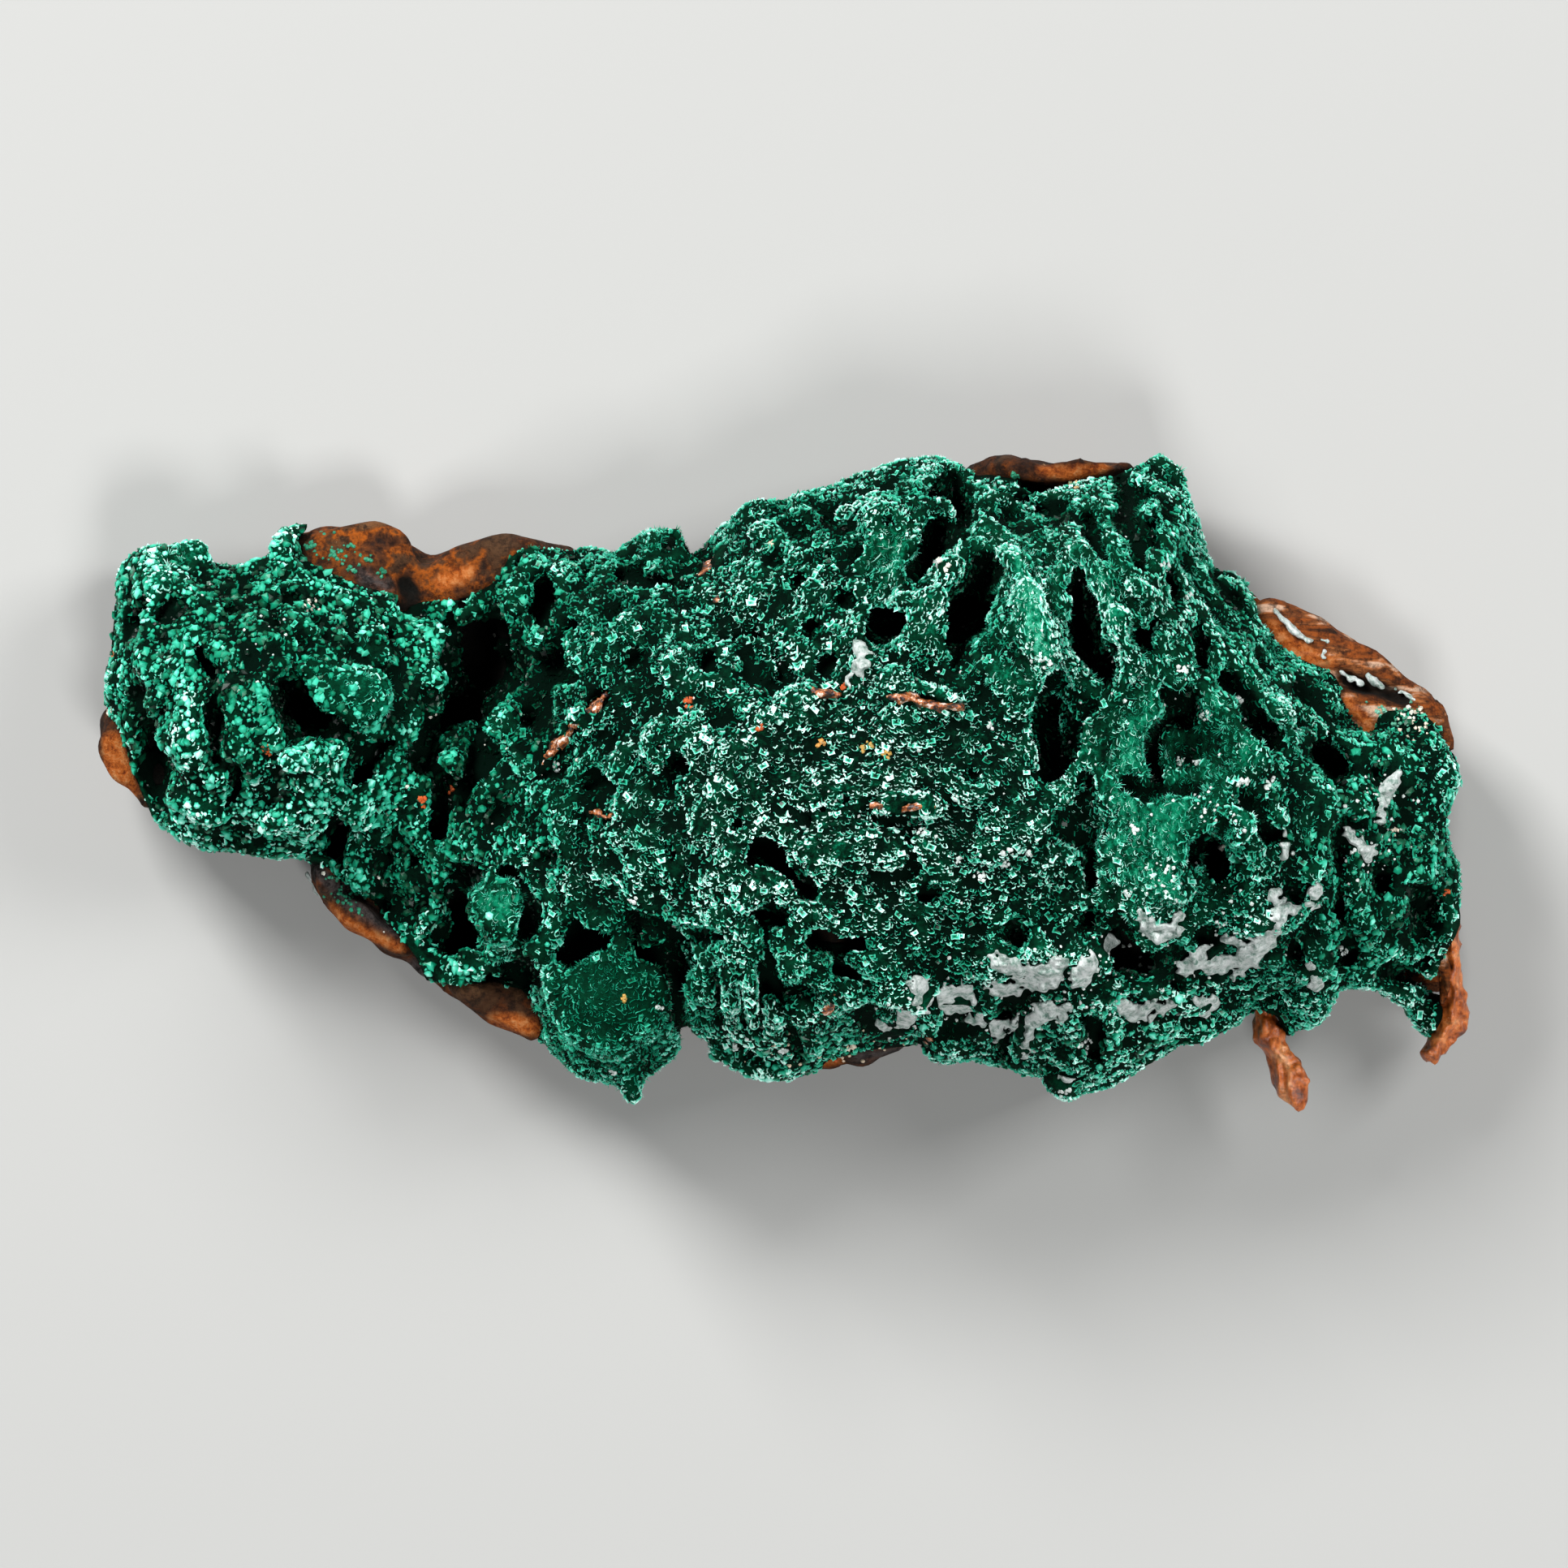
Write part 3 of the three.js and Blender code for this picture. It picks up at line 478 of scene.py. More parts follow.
# %% Raise the fins, in mm
FINS = (
    [(10.8, 22.6, 0.35), (11.7, 20.6, 0.4), (12.4, 17.7, 0.4)],
    [(16.1, 19.1, 0.7), (12.4, 17.0, 0.7), (11.4, 15.0, 0.7), (10.5, 13.0, 0.7), (10.0, 11.0, 0.6)],
    [(16.4, 17.7, 1.0), (17.0, 14.7, 1.2), (18.1, 12.4, 1.2), (19.0, 8.6, 1.0), (18.8, 7.0, 0.8)],
    [(20.7, 17.7, 0.6), (22.4, 15.0, 0.7), (23.4, 12.6, 0.7), (24.2, 10.6, 0.7), (25.0, 8.1, 0.7),
     (26.1, 6.7, 0.6)],
    [(25.3, 14.7, 0.7), (27.0, 12.8, 0.8), (27.9, 11.7, 0.8), (28.9, 11.0, 0.7)],
    [(27.7, 20.4, 0.6), (29.1, 19.7, 0.6), (30.6, 18.1, 0.6), (31.2, 16.7, 0.5)],
    [(-3.9, -13.6, 0.4), (-3.8, -15.5, 0.5), (-3.4, -18.0, 0.4)],
    [(-2.4, -14.2, 0.4), (-2.3, -16.2, 0.5), (-2.1, -18.0, 0.3)],
    [(-1.1, -14.8, 0.3), (-0.8, -16.2, 0.35), (-0.4, -18.0, 0.3)],
    [(-43.0, 9.0, 0.5), (-43.2, 5.0, 0.7), (-43.4, 1.0, 0.6), (-42.6, -2.0, 0.5)],
    [(-14.6, -6.2, 0.5), (-12.0, -7.4, 0.6), (-9.0, -8.4, 0.5)],
)
FIN = 1.3  # mm, how high a fin stands over the surface


def raise_fin(field, top, path, height):
    """Adds a rounded fin along a path."""
    edge, half = beside(path)
    where = window(edge, 2)
    half = half[where][..., None]
    crest = top[where][..., None] + height - half
    fin = np.hypot(edge[where][..., None] + half, np.clip(Z - crest, 0, None)) - half + 0.1 * wobble[where]
    field[where] = np.minimum(field[where], np.maximum(fin, crest - 4 - Z))


for path in FINS:
    raise_fin(druse, top, path, FIN)
print("fins:", len(FINS), "malachite cells:", int((druse < 0).sum()))

# %% Raise the balls, in mm
# x, y, radius, how far it stands proud
BALLS = (
    (-20.9, -8.8, 2.05, 1.9), (-31.0, 6.3, 3.0, 0.35), (-18.2, -16.5, 0.8, 0.9), (-12.4, -15.6, 4.6, 1.5),
    (14.8, 8.4, 2.1, 1.2), (28.0, -3.3, 2.4, 0.9), (-45.7, 16.6, 1.0, 0.9), (-42.6, 16.9, 1.0, 0.9),
    (-36.5, 17.4, 1.1, 0.9), (8.2, -14.6, 1.5, 0.5), (-8.3, 17.0, 1.7, 0.9), (28.3, 22.3, 1.2, 0.5),
    (-11.0, -22.2, 0.8, 0.6),
)


def add_ball(field, top, x, y, radius, proud):
    """Adds a ball whose top stands proud of the surface around it."""
    column = int(round((x - LOW[0]) / CELL)), int(round((y - LOW[1]) / CELL))
    reach = int((radius + 2) / CELL)
    where = tuple(slice(max(c - reach, 0), c + reach + 1) for c in column)
    flat = np.hypot(X[where[0]][:, None, None] - x, Y[where[1]][None, :, None] - y)
    ball = np.hypot(flat, Z - (top[column] + proud - radius)) - radius
    field[where] = np.minimum(field[where], ball)


for ball in BALLS:
    add_ball(druse, top, *ball)
print("balls:", len(BALLS), "malachite cells:", int((druse < 0).sum()))

# %% Regions of velvet and of dense druse, in mm
# x, y, reach along x, reach along y, how much the region adds
VELVET = (
    (17.6, 12, 1.8, 6, 0.55), (7.6, 16.4, 2.5, 2, 0.8), (26.6, 2, 4.5, 5, 0.7), (26.4, -5, 4.2, 5, 0.8),
    (29.4, 2.2, 4, 3.4, 1.0), (-12.4, -15.6, 5, 5, 1.0), (-31, 6.1, 3.6, 3.6, 0.6),
    (-20.9, -8.8, 2.2, 2.2, 1.0), (14.8, 8.4, 2.1, 2.1, 0.3), (22.5, 14, 1.4, 4, 0.4),
    (-8.3, 17.2, 2, 2, 0.7), (-44.5, 16.2, 2.8, 1.6, 0.6), (25, 16, 8, 6, 0.35), (33, 7, 5, 4, 0.3),
    (14, 18, 3, 4, 0.3),
)
# Where the druse is dense and even, without big clumps
DENSE = ((3, -2, 13, 8, 0.8), (0, 11, 9, 4, 0.5), (19, -14, 9, 4, 0.5), (43, -6, 6, 7, 0.4))


def spread(table, x, y):
    """The sum of soft round regions at places in mm."""
    return sum(amount * np.exp(-(((x - cx) / along) ** 2) - ((y - cy) / across) ** 2)
               for cx, cy, along, across, amount in table)


velvet_plan = np.clip(spread(VELVET, X[:, None], Y[None, :]), 0, 1)[..., None].astype(np.float32)
print("velvet's share of the plan:", round(float(velvet_plan.mean()), 3))

# %% Swell the knobs, add the coats and cut the holes
clumps = np.abs(cloud(2.7, seed=21))
knobs = np.abs(cloud(1.35, seed=22))
relief = 1 - 0.6 * np.clip(spread(DENSE, X[:, None], Y[None, :]), 0, 1)[..., None].astype(np.float32)
swell = relief * (0.7 * (clumps - 0.8) + 0.6 * (knobs - 0.8)) + 0.35 * cloud(4.5, seed=24)
druse = soften(druse, 2) + 0.2 - swell * inner * (1 - 0.75 * velvet_plan)
for layer in (coat, lining, seam):
    druse = np.minimum(druse, layer)
druse = np.maximum(druse, -pits)
print("the knobs swell by up to", round(float((swell * inner).max()), 1), "mm")

# %% Bays that cut the outline from front to back, in mm
CUTS = (
    [(36.0, 15.1, 1.0), (40.35, 13.0, 1.2), (44.9, 9.95, 1.2), (48.6, 6.35, 1.2), (49.8, 3.0, 1.0)],
    [(-50.2, 0.5, 0.8), (-48.05, -1.55, 0.8), (-45.95, -3.75, 0.7)],
    [(-50.0, 12.6, 0.6), (-50.2, 10.0, 0.6)],
    [(-40.4, 17.5, 1.3), (-38.6, 18.0, 1.2)],
    [(-44.1, 18.8, 0.5), (-44.0, 17.2, 0.3)],
    [(-9.6, 19.6, 0.4), (-6.2, 19.0, 0.5), (-6.3, 17.2, 0.2)],
    [(-7.0, -17.6, 0.3), (-7.0, -19.0, 0.8), (-6.6, -21.0, 1.5)],
    [(9.5, -18.6, 0.2), (9.6, -19.6, 0.5), (9.7, -21.3, 0.8)],
    [(13.0, -21.5, 0.7), (15.2, -21.2, 0.5), (17.8, -21.9, 0.8)],
    [(1.4, -21.9, 0.5), (3.6, -21.5, 0.7)],
    [(33.9, -16.6, 0.5), (33.4, -18.4, 0.9)],
    [(40.1, -16.6, 0.5), (41.4, -16.0, 0.7)],
    [(-36.8, -6.5, 0.6), (-35.4, -6.2, 0.5)],
)
for path in CUTS:
    cut = 0.12 * wobble - beside(path)[0][..., None]
    druse = np.maximum(druse, cut)
    stone = np.maximum(stone, cut)
druse = soften(druse, 1)
print("bays:", len(CUTS), "malachite cells:", int((druse < 0).sum()))

# %% [markdown]
# ## From fields to meshes
#
# Surface nets turn a field back into quads, one for each cell that the surface crosses. A remesh modifier
# could do this too, but here the grid is already at hand, and crumbs that float free of the stone can be
# dropped in the same step. Each corner also keeps what the finish needs to know about its place, such as
# how hollow the surface is around it.

# %% Surface nets without crumbs
CRUMB = 300  # an island of fewer corners is dropped


def islands(count, edges):
    """A label for each corner, the same all over one connected island."""
    label = np.arange(count)
    while True:
        before = label.copy()
        least = np.minimum(label[edges[:, 0]], label[edges[:, 1]])
        np.minimum.at(label, edges[:, 0], least)
        np.minimum.at(label, edges[:, 1], least)
        label = label[label]
        if (label == before).all():
            return label


def surface(field, low=LOW, cell=CELL, crumb=CRUMB):
    """The corners in mm and the faces of a field's surface, pointing outwards and without crumbs."""
    grid = vdb.FloatGrid(4.0)
    grid.copyFromArray(np.ascontiguousarray(field, dtype=np.float32))
    corners, triangles, quads = grid.convertToPolygons(isovalue=0.0, adaptivity=0.0)
    corners = corners * cell + low
    faces = np.vstack([quads, np.column_stack([triangles, triangles[:, 2]])]).astype(int)
    a, b, c, d = (corners[faces[:, n]] for n in range(4))
    volume = np.einsum("ij,ij->", a, np.cross(b, c)) + np.einsum("ij,ij->", a, np.cross(c, d))
    if volume < 0:
        faces = faces[:, [0, 3, 2, 1]]
    edges = np.vstack([faces[:, [0, 1]], faces[:, [1, 2]], faces[:, [2, 3]]])
    label = islands(len(corners), edges)
    kept = np.bincount(label, minlength=len(corners))[label] > crumb
    order = np.cumsum(kept) - 1
    return corners[kept], order[faces[kept[faces[:, 0]]]]


print("islands of two pairs of corners:", islands(4, np.array([[0, 1], [2, 3]])))

# %% Meshes, and numbers on their corners
def make_mesh(name, corners, faces, smooth=True):
    """A Blender object in metres from corners in mm."""
    mesh = bpy.data.meshes.new(name)
    rows = [list(dict.fromkeys(face)) for face in faces.tolist()]
    mesh.from_pydata((corners * MM).tolist(), [], [row for row in rows if len(row) > 2])
    mesh.validate()
    if smooth:
        mesh.shade_smooth()
    else:
        mesh.shade_flat()
    made = bpy.data.objects.new(name, mesh)
    bpy.context.scene.collection.objects.link(made)
    return made


def corners_of(made):
    """A mesh's corners in mm."""
    flat = np.empty(len(made.data.vertices) * 3, dtype=np.float32)
    made.data.vertices.foreach_get("co", flat)
    return flat.reshape(-1, 3) / MM


def look_up(field, points):
    """A field's or a map's value at points in mm, blended between the cells around each."""
    axes = field.ndim
    place = np.clip((points[..., :axes] - LOW[:axes]) / CELL, 0, np.array(field.shape) - 1.001)
    base = place.astype(int)
    t = place - base
    value = np.zeros(points.shape[:-1], dtype=np.float32)
    for corner in range(2**axes):
        step = np.array([corner >> axis & 1 for axis in range(axes)])
        weight = np.prod(np.where(step, t, 1 - t), axis=-1)
        value += weight * field[tuple(np.moveaxis(base + step, -1, 0))]
    return value


def keep(made, name, values):
    """Stores one number per corner on a mesh."""
    attribute = made.data.attributes.new(name, "FLOAT", "POINT")
    attribute.data.foreach_set("value", np.ascontiguousarray(values, dtype=np.float32))


crown = crown_of(druse)
print("the druse over the middle is", round(float(look_up(crown, np.zeros(2))), 1), "mm high")

# %% How full the space around each place is
# A corner in a hollow has more stone around it than one on a knob.
# The malachite's finishes darken hollow corners by it, as painted shade.
filled = soften((np.minimum(druse, stone) < 0).astype(np.float32), 4)
filled_wide = soften(filled, 24)
patches = cloud(5.0, seed=31)
fine_patches = cloud(2.2, seed=32)
print("malachite and barite fill", round(float(filled.mean()), 3), "of the grid")

# %% [markdown]
# ## The druse's mesh
#
# Malachite isn't the same everywhere. It is brightest and most even over the middle, velvet on the balls
# and blobby at the left end, and in places its crests all run one way. Part of that brightness is the
# malachite's own tone, and part is painted light and shade. Painting such masks by hand is the usual way
# in Blender. Here each region is a soft round spot with a place, a reach and an amount, because a short
# table can be read and changed. The sums are stored on the mesh's corners, where the finish and the
# rosettes look them up.
#
# Nothing grows where a bare crest or a chalky crust will lie, so their paths come first.

# %% Crests of single blades that the malachite leaves bare, in mm
# Each has its path, and how far it stands proud.
CRESTS = (
    ([(-17.4, 1.5, 0.1), (-16.4, 2.7, 0.3), (-15.4, 3.7, 0.25)], 0.7),
    ([(-15.0, 4.1, 0.15), (-14.0, 5.0, 0.28), (-12.7, 6.3, 0.1)], 0.7),
    ([(-6.3, 14.6, 0.1), (-5.4, 15.6, 0.25), (-4.8, 16.4, 0.25), (-4.4, 17.2, 0.1)], 0.6),
    ([(6.9, 6.3, 0.1), (7.8, 6.2, 0.35), (9.0, 6.0, 0.42), (11.0, 5.5, 0.3), (12.8, 5.4, 0.1)], 0.8),
    ([(1.2, 6.2, 0.08), (2.6, 6.5, 0.2), (4.0, 6.3, 0.08)], 0.7),
    ([(6.3, -1.6, 0.08), (8.3, -1.8, 0.2), (10.7, -1.8, 0.08)], 0.8),
    ([(3.7, -15.2, 0.1), (3.3, -16.2, 0.25), (2.6, -17.3, 0.1)], 0.5),
    ([(10.5, -18.0, 0.2), (10.6, -18.9, 0.25)], 0.4),
    ([(-5.0, 13.0, 0.15), (-4.2, 13.5, 0.2)], 0.5),
    ([(-13.6, -2.2, 0.15), (-12.6, -2.6, 0.15)], 0.5),
)
print("bare crests:", len(CRESTS))

# %% Chalky crusts that lie over the malachite, in mm
CHALK = (
    [(9.7, -15.0, 0.9), (10.0, -15.5, 0.9)],
    [(12.1, -15.7, 0.95), (12.9, -15.6, 0.95)],
    [(7.0, -17.4, 0.25), (7.5, -18.0, 0.45), (8.3, -17.9, 0.5), (8.8, -17.3, 0.5), (8.7, -16.3, 0.25)],
    [(15.2, -14.9, 0.6), (16.2, -15.1, 0.6)],
    [(14.3, -17.2, 0.45), (15.5, -17.7, 0.5)],
    [(15.2, -12.7, 0.4), (16.3, -13.1, 0.65), (17.3, -13.9, 0.7), (19.2, -14.2, 0.9), (19.8, -13.1, 0.6)],
    [(16.8, -17.6, 0.4), (17.9, -17.1, 0.6), (19.0, -16.6, 0.6)],
    [(18.0, -17.3, 0.5), (17.6, -18.6, 0.4), (17.3, -19.7, 0.4)],
    [(20.3, -17.0, 0.45), (20.4, -16.4, 0.35)],
    [(19.8, -21.8, 0.5), (20.6, -22.1, 0.6)],
    [(21.0, -14.1, 0.5), (22.3, -12.9, 0.5), (23.5, -11.3, 0.4)],
    [(25.9, -9.4, 0.3), (26.2, -10.6, 0.6), (27.1, -11.1, 0.6), (28.0, -10.5, 0.55), (28.3, -9.6, 0.25)],
    [(29.1, -13.3, 0.5), (30.3, -12.7, 0.7), (31.5, -13.2, 0.8), (32.9, -13.1, 0.7), (34.0, -12.3, 0.65),
     (34.9, -11.2, 0.5), (35.3, -10.1, 0.5), (36.0, -9.3, 0.6), (36.8, -9.2, 0.35)],
    [(32.0, -11.3, 0.25), (32.9, -11.6, 0.35), (33.9, -11.7, 0.4)],
    [(35.3, -7.9, 0.35), (35.7, -8.7, 0.4)],
    [(24.5, -15.9, 0.4), (25.4, -16.6, 0.5), (26.3, -16.4, 0.45), (26.9, -15.5, 0.25)],
    [(26.6, -17.4, 0.2), (27.3, -16.1, 0.3), (28.1, -16.0, 0.25)],
    [(30.6, -16.1, 0.6), (31.0, -15.9, 0.5)],
    [(41.0, -3.9, 0.25), (42.3, -5.0, 0.4), (42.1, -6.2, 0.3)],
    [(44.6, 0.7, 0.3), (43.6, -1.2, 0.4), (43.3, -2.4, 0.25)],
    [(36.4, -4.1, 0.2), (36.1, -5.2, 0.25)],
    [(38.5, -7.8, 0.3), (38.2, -8.8, 0.3)],
    [(38.2, -13.6, 0.45), (38.7, -14.8, 0.35)],
    [(5.6, 9.9, 0.4), (5.7, 8.6, 0.5), (5.3, 7.4, 0.35)],
    [(11.4, 15.7, 0.4), (11.6, 15.3, 0.35)],
)
print("crusts:", len(CHALK))

# %% Painted light and shade, the druse's own tone, and how blobby it is, in mm
# x, y, reach along x, reach along y, how much the region adds
# Each region adds partly the druse's own tone and partly painted light and shade.
PAINTED_LIGHT_AND_TONE = (
    (4, -1, 15, 10, 0.75), (20, 14, 12, 7, -0.06), (7.6, 16.4, 3, 2.5, 0.25), (-40, 9, 9, 8, -0.34),
    (-31, 6, 4, 4, -0.1), (-38, -3, 8, 3.5, 0.12), (-24, 2, 8, 8, -0.32), (-30, -7, 6, 4, -0.25),
    (-12.4, -16, 5.5, 5.5, -0.5), (29.4, 2.2, 4, 3.4, -0.05), (44, -5, 6, 9, -0.32), (8, -15, 9, 5, -0.05),
    (-19, 13, 9, 5, -0.3), (27, -4, 5, 6, 0.1), (14.8, 8.4, 2, 2, -0.1), (-20.9, -8.8, 2.3, 2.3, -0.1),
    (-44.5, 15.5, 3.5, 2, 0.2), (45.6, 4.4, 1.8, 1.6, -0.35), (-36, -1, 4, 3, 0.22),
    (-2.4, -16, 2.4, 3, 0.3), (0, -13, 6, 4, -0.22),
)
# Where the rosettes are rounded blobs, besides the whole left end
BLOBBY = ((44, -5, 6, 9, 0.5), (24, -18, 8, 3, 0.5), (0, -20, 10, 2.5, 0.5))


def painted_light_and_tone_at(points, sunk, brink):
    """Painted light, shade and own tone at points in mm: shade in and round holes, highlights on fins."""
    x, y = points[:, 0], points[:, 1]
    painted_light_and_tone = 0.55 + spread(PAINTED_LIGHT_AND_TONE, x, y) + 0.08 * look_up(patches, points)
    painted_light_and_tone = painted_light_and_tone + 0.06 * look_up(fine_patches, points)
    painted_light_and_tone = painted_light_and_tone * (1 - 0.6 * sunk) * (1 - 0.3 * brink)
    return painted_light_and_tone + 0.22 * np.exp(-np.clip(nearest(FINS, x, y), 0, 4) / 0.5) * (1 - sunk)


print("regions of shade:", len(PAINTED_LIGHT_AND_TONE), "regions of blobs:", len(BLOBBY))

# %% Which way the crests of the rosettes run
# x, y, reach, direction of the crests in degrees, how strictly they keep to it
FLOW = (
    (-44, 4, 6, 92, 0.8), (-38, 2, 5, 80, 0.6), (-40, 12, 6, 60, 0.3), (-24, -2, 6, 95, 0.7),
    (-30, -7, 5, 110, 0.5), (-15, 2, 5, 55, 0.8), (-12, -7, 5, 155, 0.6), (4, 1, 8, 175, 0.7),
    (10, -4, 7, 168, 0.7), (16, 0, 4, 150, 0.5), (-2, 10, 6, 35, 0.4), (6, 12, 5, 60, 0.4),
    (-3, -16, 4, 105, 1.0), (4, -12, 5, 160, 0.5), (14, -11, 6, 170, 0.5), (11, 14, 4, 70, 0.9),
    (17.5, 13, 4, 104, 1.0), (23.5, 12, 4, 114, 1.0), (28, 13, 5, 125, 0.9), (33, 8, 6, 130, 0.7),
    (24, 19, 4, 100, 0.9), (30, -3, 6, 100, 0.4), (43, -5, 7, 100, 0.4), (30, -14, 6, 10, 0.3),
)


def flow_at(x, y):
    """The direction of the crests at places in mm, in radians, and how strictly they keep to it."""
    along, across = 0, 0
    for cx, cy, reach, degrees, strictness in FLOW:
        weight = strictness * np.exp(-((x - cx) ** 2 + (y - cy) ** 2) / reach**2)
        along = along + weight * math.cos(math.radians(2 * degrees))
        across = across + weight * math.sin(math.radians(2 * degrees))
    return 0.5 * np.arctan2(across, along), np.clip(np.hypot(along, across), 0, 1)


turn, strictness = flow_at(17.5, 13.0)
print("the crests run at", round(math.degrees(turn) % 180), "degrees on the widest fin")

# %% The druse's mesh stands for its solid
# It is cut in two, because a piece over 200,000 triangles would be thinned when it is saved.
MEETING = 2.0  # mm along x, where the two halves of the skin meet inside one another


def dress(piece):
    """Stores on a piece of the druse what its finish and its rosettes need to know."""
    points = corners_of(piece)
    x, y = points[:, 0], points[:, 1]
    hollow = 2.4 * (look_up(filled, points) - 0.5) + 2.6 * (look_up(filled_wide, points) - 0.46)
    crease = np.exp(-((look_up(clumps, points) / 0.24) ** 2))
    crease = crease + np.exp(-((look_up(knobs, points) / 0.25) ** 2))
    velvet = np.clip(spread(VELVET, x, y), 0, 1)
    crease = np.clip(crease, 0, 1) * (1 - 0.8 * velvet)
    sunk = np.clip(look_up(top, points) - points[:, 2] - 0.7, 0, 1.5) / 1.5 * (look_up(pits, points) < 0.7)
    brink = np.clip(1 - look_up(pits, points) / 1.1, 0, 1)
    hollow = np.clip(np.maximum(hollow + 0.9 * sunk, brink - 1), -1, 1)
    bloom = np.clip(1.2 - 0.6 * np.clip(hollow, 0, 1) - 0.5 * crease, 0, 1)
    bloom[look_up(stone, points) < 0.25] = 0
    facing_up = points[:, 2] > look_up(crown, points) - 1.5
    bloom[(nearest(CHALK, x, y) < 0.05) & facing_up] = 0
    bloom[(nearest([path for path, proud in CRESTS], x, y) < 0.02) & facing_up] = 0
    blobby = np.clip(np.clip((-15 - x) / 12, 0, 0.9) + spread(BLOBBY, x, y), 0, 0.9)
    flow, order = flow_at(x, y)
    # Painted shade: the finishes darken corners in hollows, creases and holes by this number.
    keep(piece, "hollow", np.clip(hollow + 0.4 * crease, -1, 1))
    # Painted light and shade of the regions, with the druse's own tone, for the finishes.
    keep(piece, "painted_light_and_tone", np.clip(painted_light_and_tone_at(points, sunk, brink), 0, 1.3))
    keep(piece, "velvet", velvet)
    keep(piece, "granules", bloom * (1 - velvet) * (1 - blobby))
    keep(piece, "blobs", bloom * (1 - velvet) * blobby)
    keep(piece, "threads", bloom * velvet)
    keep(piece, "flow", flow)
    keep(piece, "order", order)
    print(piece.name, "corners:", len(points), "where rosettes grow:", int((bloom > 0).sum()))


west = make_mesh("malachite_skin_west", *surface(np.maximum(druse, X[:, None, None] - MEETING - 0.1)))
east = make_mesh("malachite_skin_east", *surface(np.maximum(druse, MEETING - 0.1 - X[:, None, None])))
for piece in (west, east):
    dress(piece)
    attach(piece, "root")
    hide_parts("malachite_druse")

# %% [markdown]
# ## The barite
#
# Barite grows in flat blades. Here they are curved and packed together, so the stone's sides show their
# edges as low ledges that run in several directions. Hundreds of modelled blades would hide in one another
# and cost much, so the ledges come from stepped noise across each direction. Two single blades stand out
# past the rim: the rough stone is cut away at their roots, and they are made on their own further down.

# %% Ledges of the barite
def ledges(direction, spacing, seed):
    """Low sharp ridges across a direction, bent by noise."""
    nx, ny, nz = direction
    along = X[:, None, None] * nx + Y[None, :, None] * ny + Z * nz + 1.6 * cloud(7.0, seed=seed)
    step = along / spacing
    saw = step - np.floor(step)
    return np.minimum(saw / 0.75, (1 - saw) / 0.25) - 0.5


choice = cloud(9.0, seed=41)
coarse = ledges((0.35, 0.2, 0.92), 2.3, 42) * (choice > -0.3)
coarse = coarse + ledges((0.8, 0.5, 0.33), 2.0, 43) * (choice <= -0.3)
grain = 0.1 * cloud(1.0, seed=45) + 0.2 * cloud(2.6, seed=46)
print("the ledges step by up to", round(0.4 * float(coarse.max() - coarse.min()), 2), "mm")

# %% The rough stone under the malachite
BLADE_ROOTS = (
    [(36.2, -17.6, 1.8), (37.6, -24.0, 2.2)],
    [(49.8, -13.8, 0.8), (49.9, -17.0, 1.8), (47.2, -20.8, 1.4)],
)
CONTACT = 0.3  # mm, how far the barite may reach into the malachite, so that no gap shows
stone_rough = soften(stone, 1) + 0.15 - 0.4 * coarse - grain
for path in BLADE_ROOTS:
    stone_rough = np.maximum(stone_rough, -beside(path)[0][..., None])
stone_rough = np.maximum(stone_rough, np.maximum(-druse - CONTACT, LINING / 2 - pits))
stone_rough = soften(np.maximum(stone_rough, -Z), 1)
stone_rough = np.maximum(stone_rough, -Z)
print("barite cells:", int((stone_rough < 0).sum()))

# %% The barite's mesh stands for its solid
# Fresh breaks, where the barite is apricot
APRICOT = (
    [(35.4, 11.4, 0.4), (36.6, 10.2, 0.7), (38.2, 9.2, 0.6), (39.9, 8.8, 0.3)],
    [(41.0, 6.0, 0.3), (42.0, 4.8, 0.5), (42.7, 3.7, 0.4)],
    [(-32.9, -9.1, 0.3), (-32.0, -10.3, 0.45), (-30.4, -11.1, 0.4), (-29.0, -11.6, 0.35),
     (-28.0, -12.1, 0.3)],
    [(-21.2, -17.3, 0.4), (-19.4, -17.6, 0.7), (-18.0, -18.0, 0.5)],
    [(-48.9, 3.0, 0.7), (-48.6, 1.2, 0.9), (-47.6, -0.6, 0.6)],
    [(-24.8, 14.6, 0.6), (-23.0, 15.3, 0.5)],
    [(18.8, 22.7, 0.3), (21.4, 22.4, 0.6), (23.4, 22.9, 0.3)],
    [(3.1, -20.4, 0.35), (4.0, -20.3, 0.25)],
)
# Where the barite is stained dark grey
GREY = (
    [(-34.4, -6.0, 0.6), (-33.0, -7.3, 0.6), (-31.4, -8.8, 0.6), (-29.8, -9.9, 0.5), (-28.2, -11.0, 0.3)],
    [(-26.9, -13.2, 0.5), (-26.2, -14.2, 0.4)],
    [(-30.6, 14.9, 0.5), (-28.8, 14.3, 0.4)],
    [(5.4, -20.0, 0.4), (8.7, -19.5, 0.4)],
)
matrix = make_mesh("barite_blades", *surface(stone_rough))
points = corners_of(matrix)
depth = look_up(top, points) - points[:, 2]
sunk = np.clip(depth - 0.7, 0, 1.2) / 1.2 * (look_up(pits, points) < 1.5)
keep(matrix, "hollow", np.clip(3.0 * (look_up(filled, points) - 0.5), -1, 1))
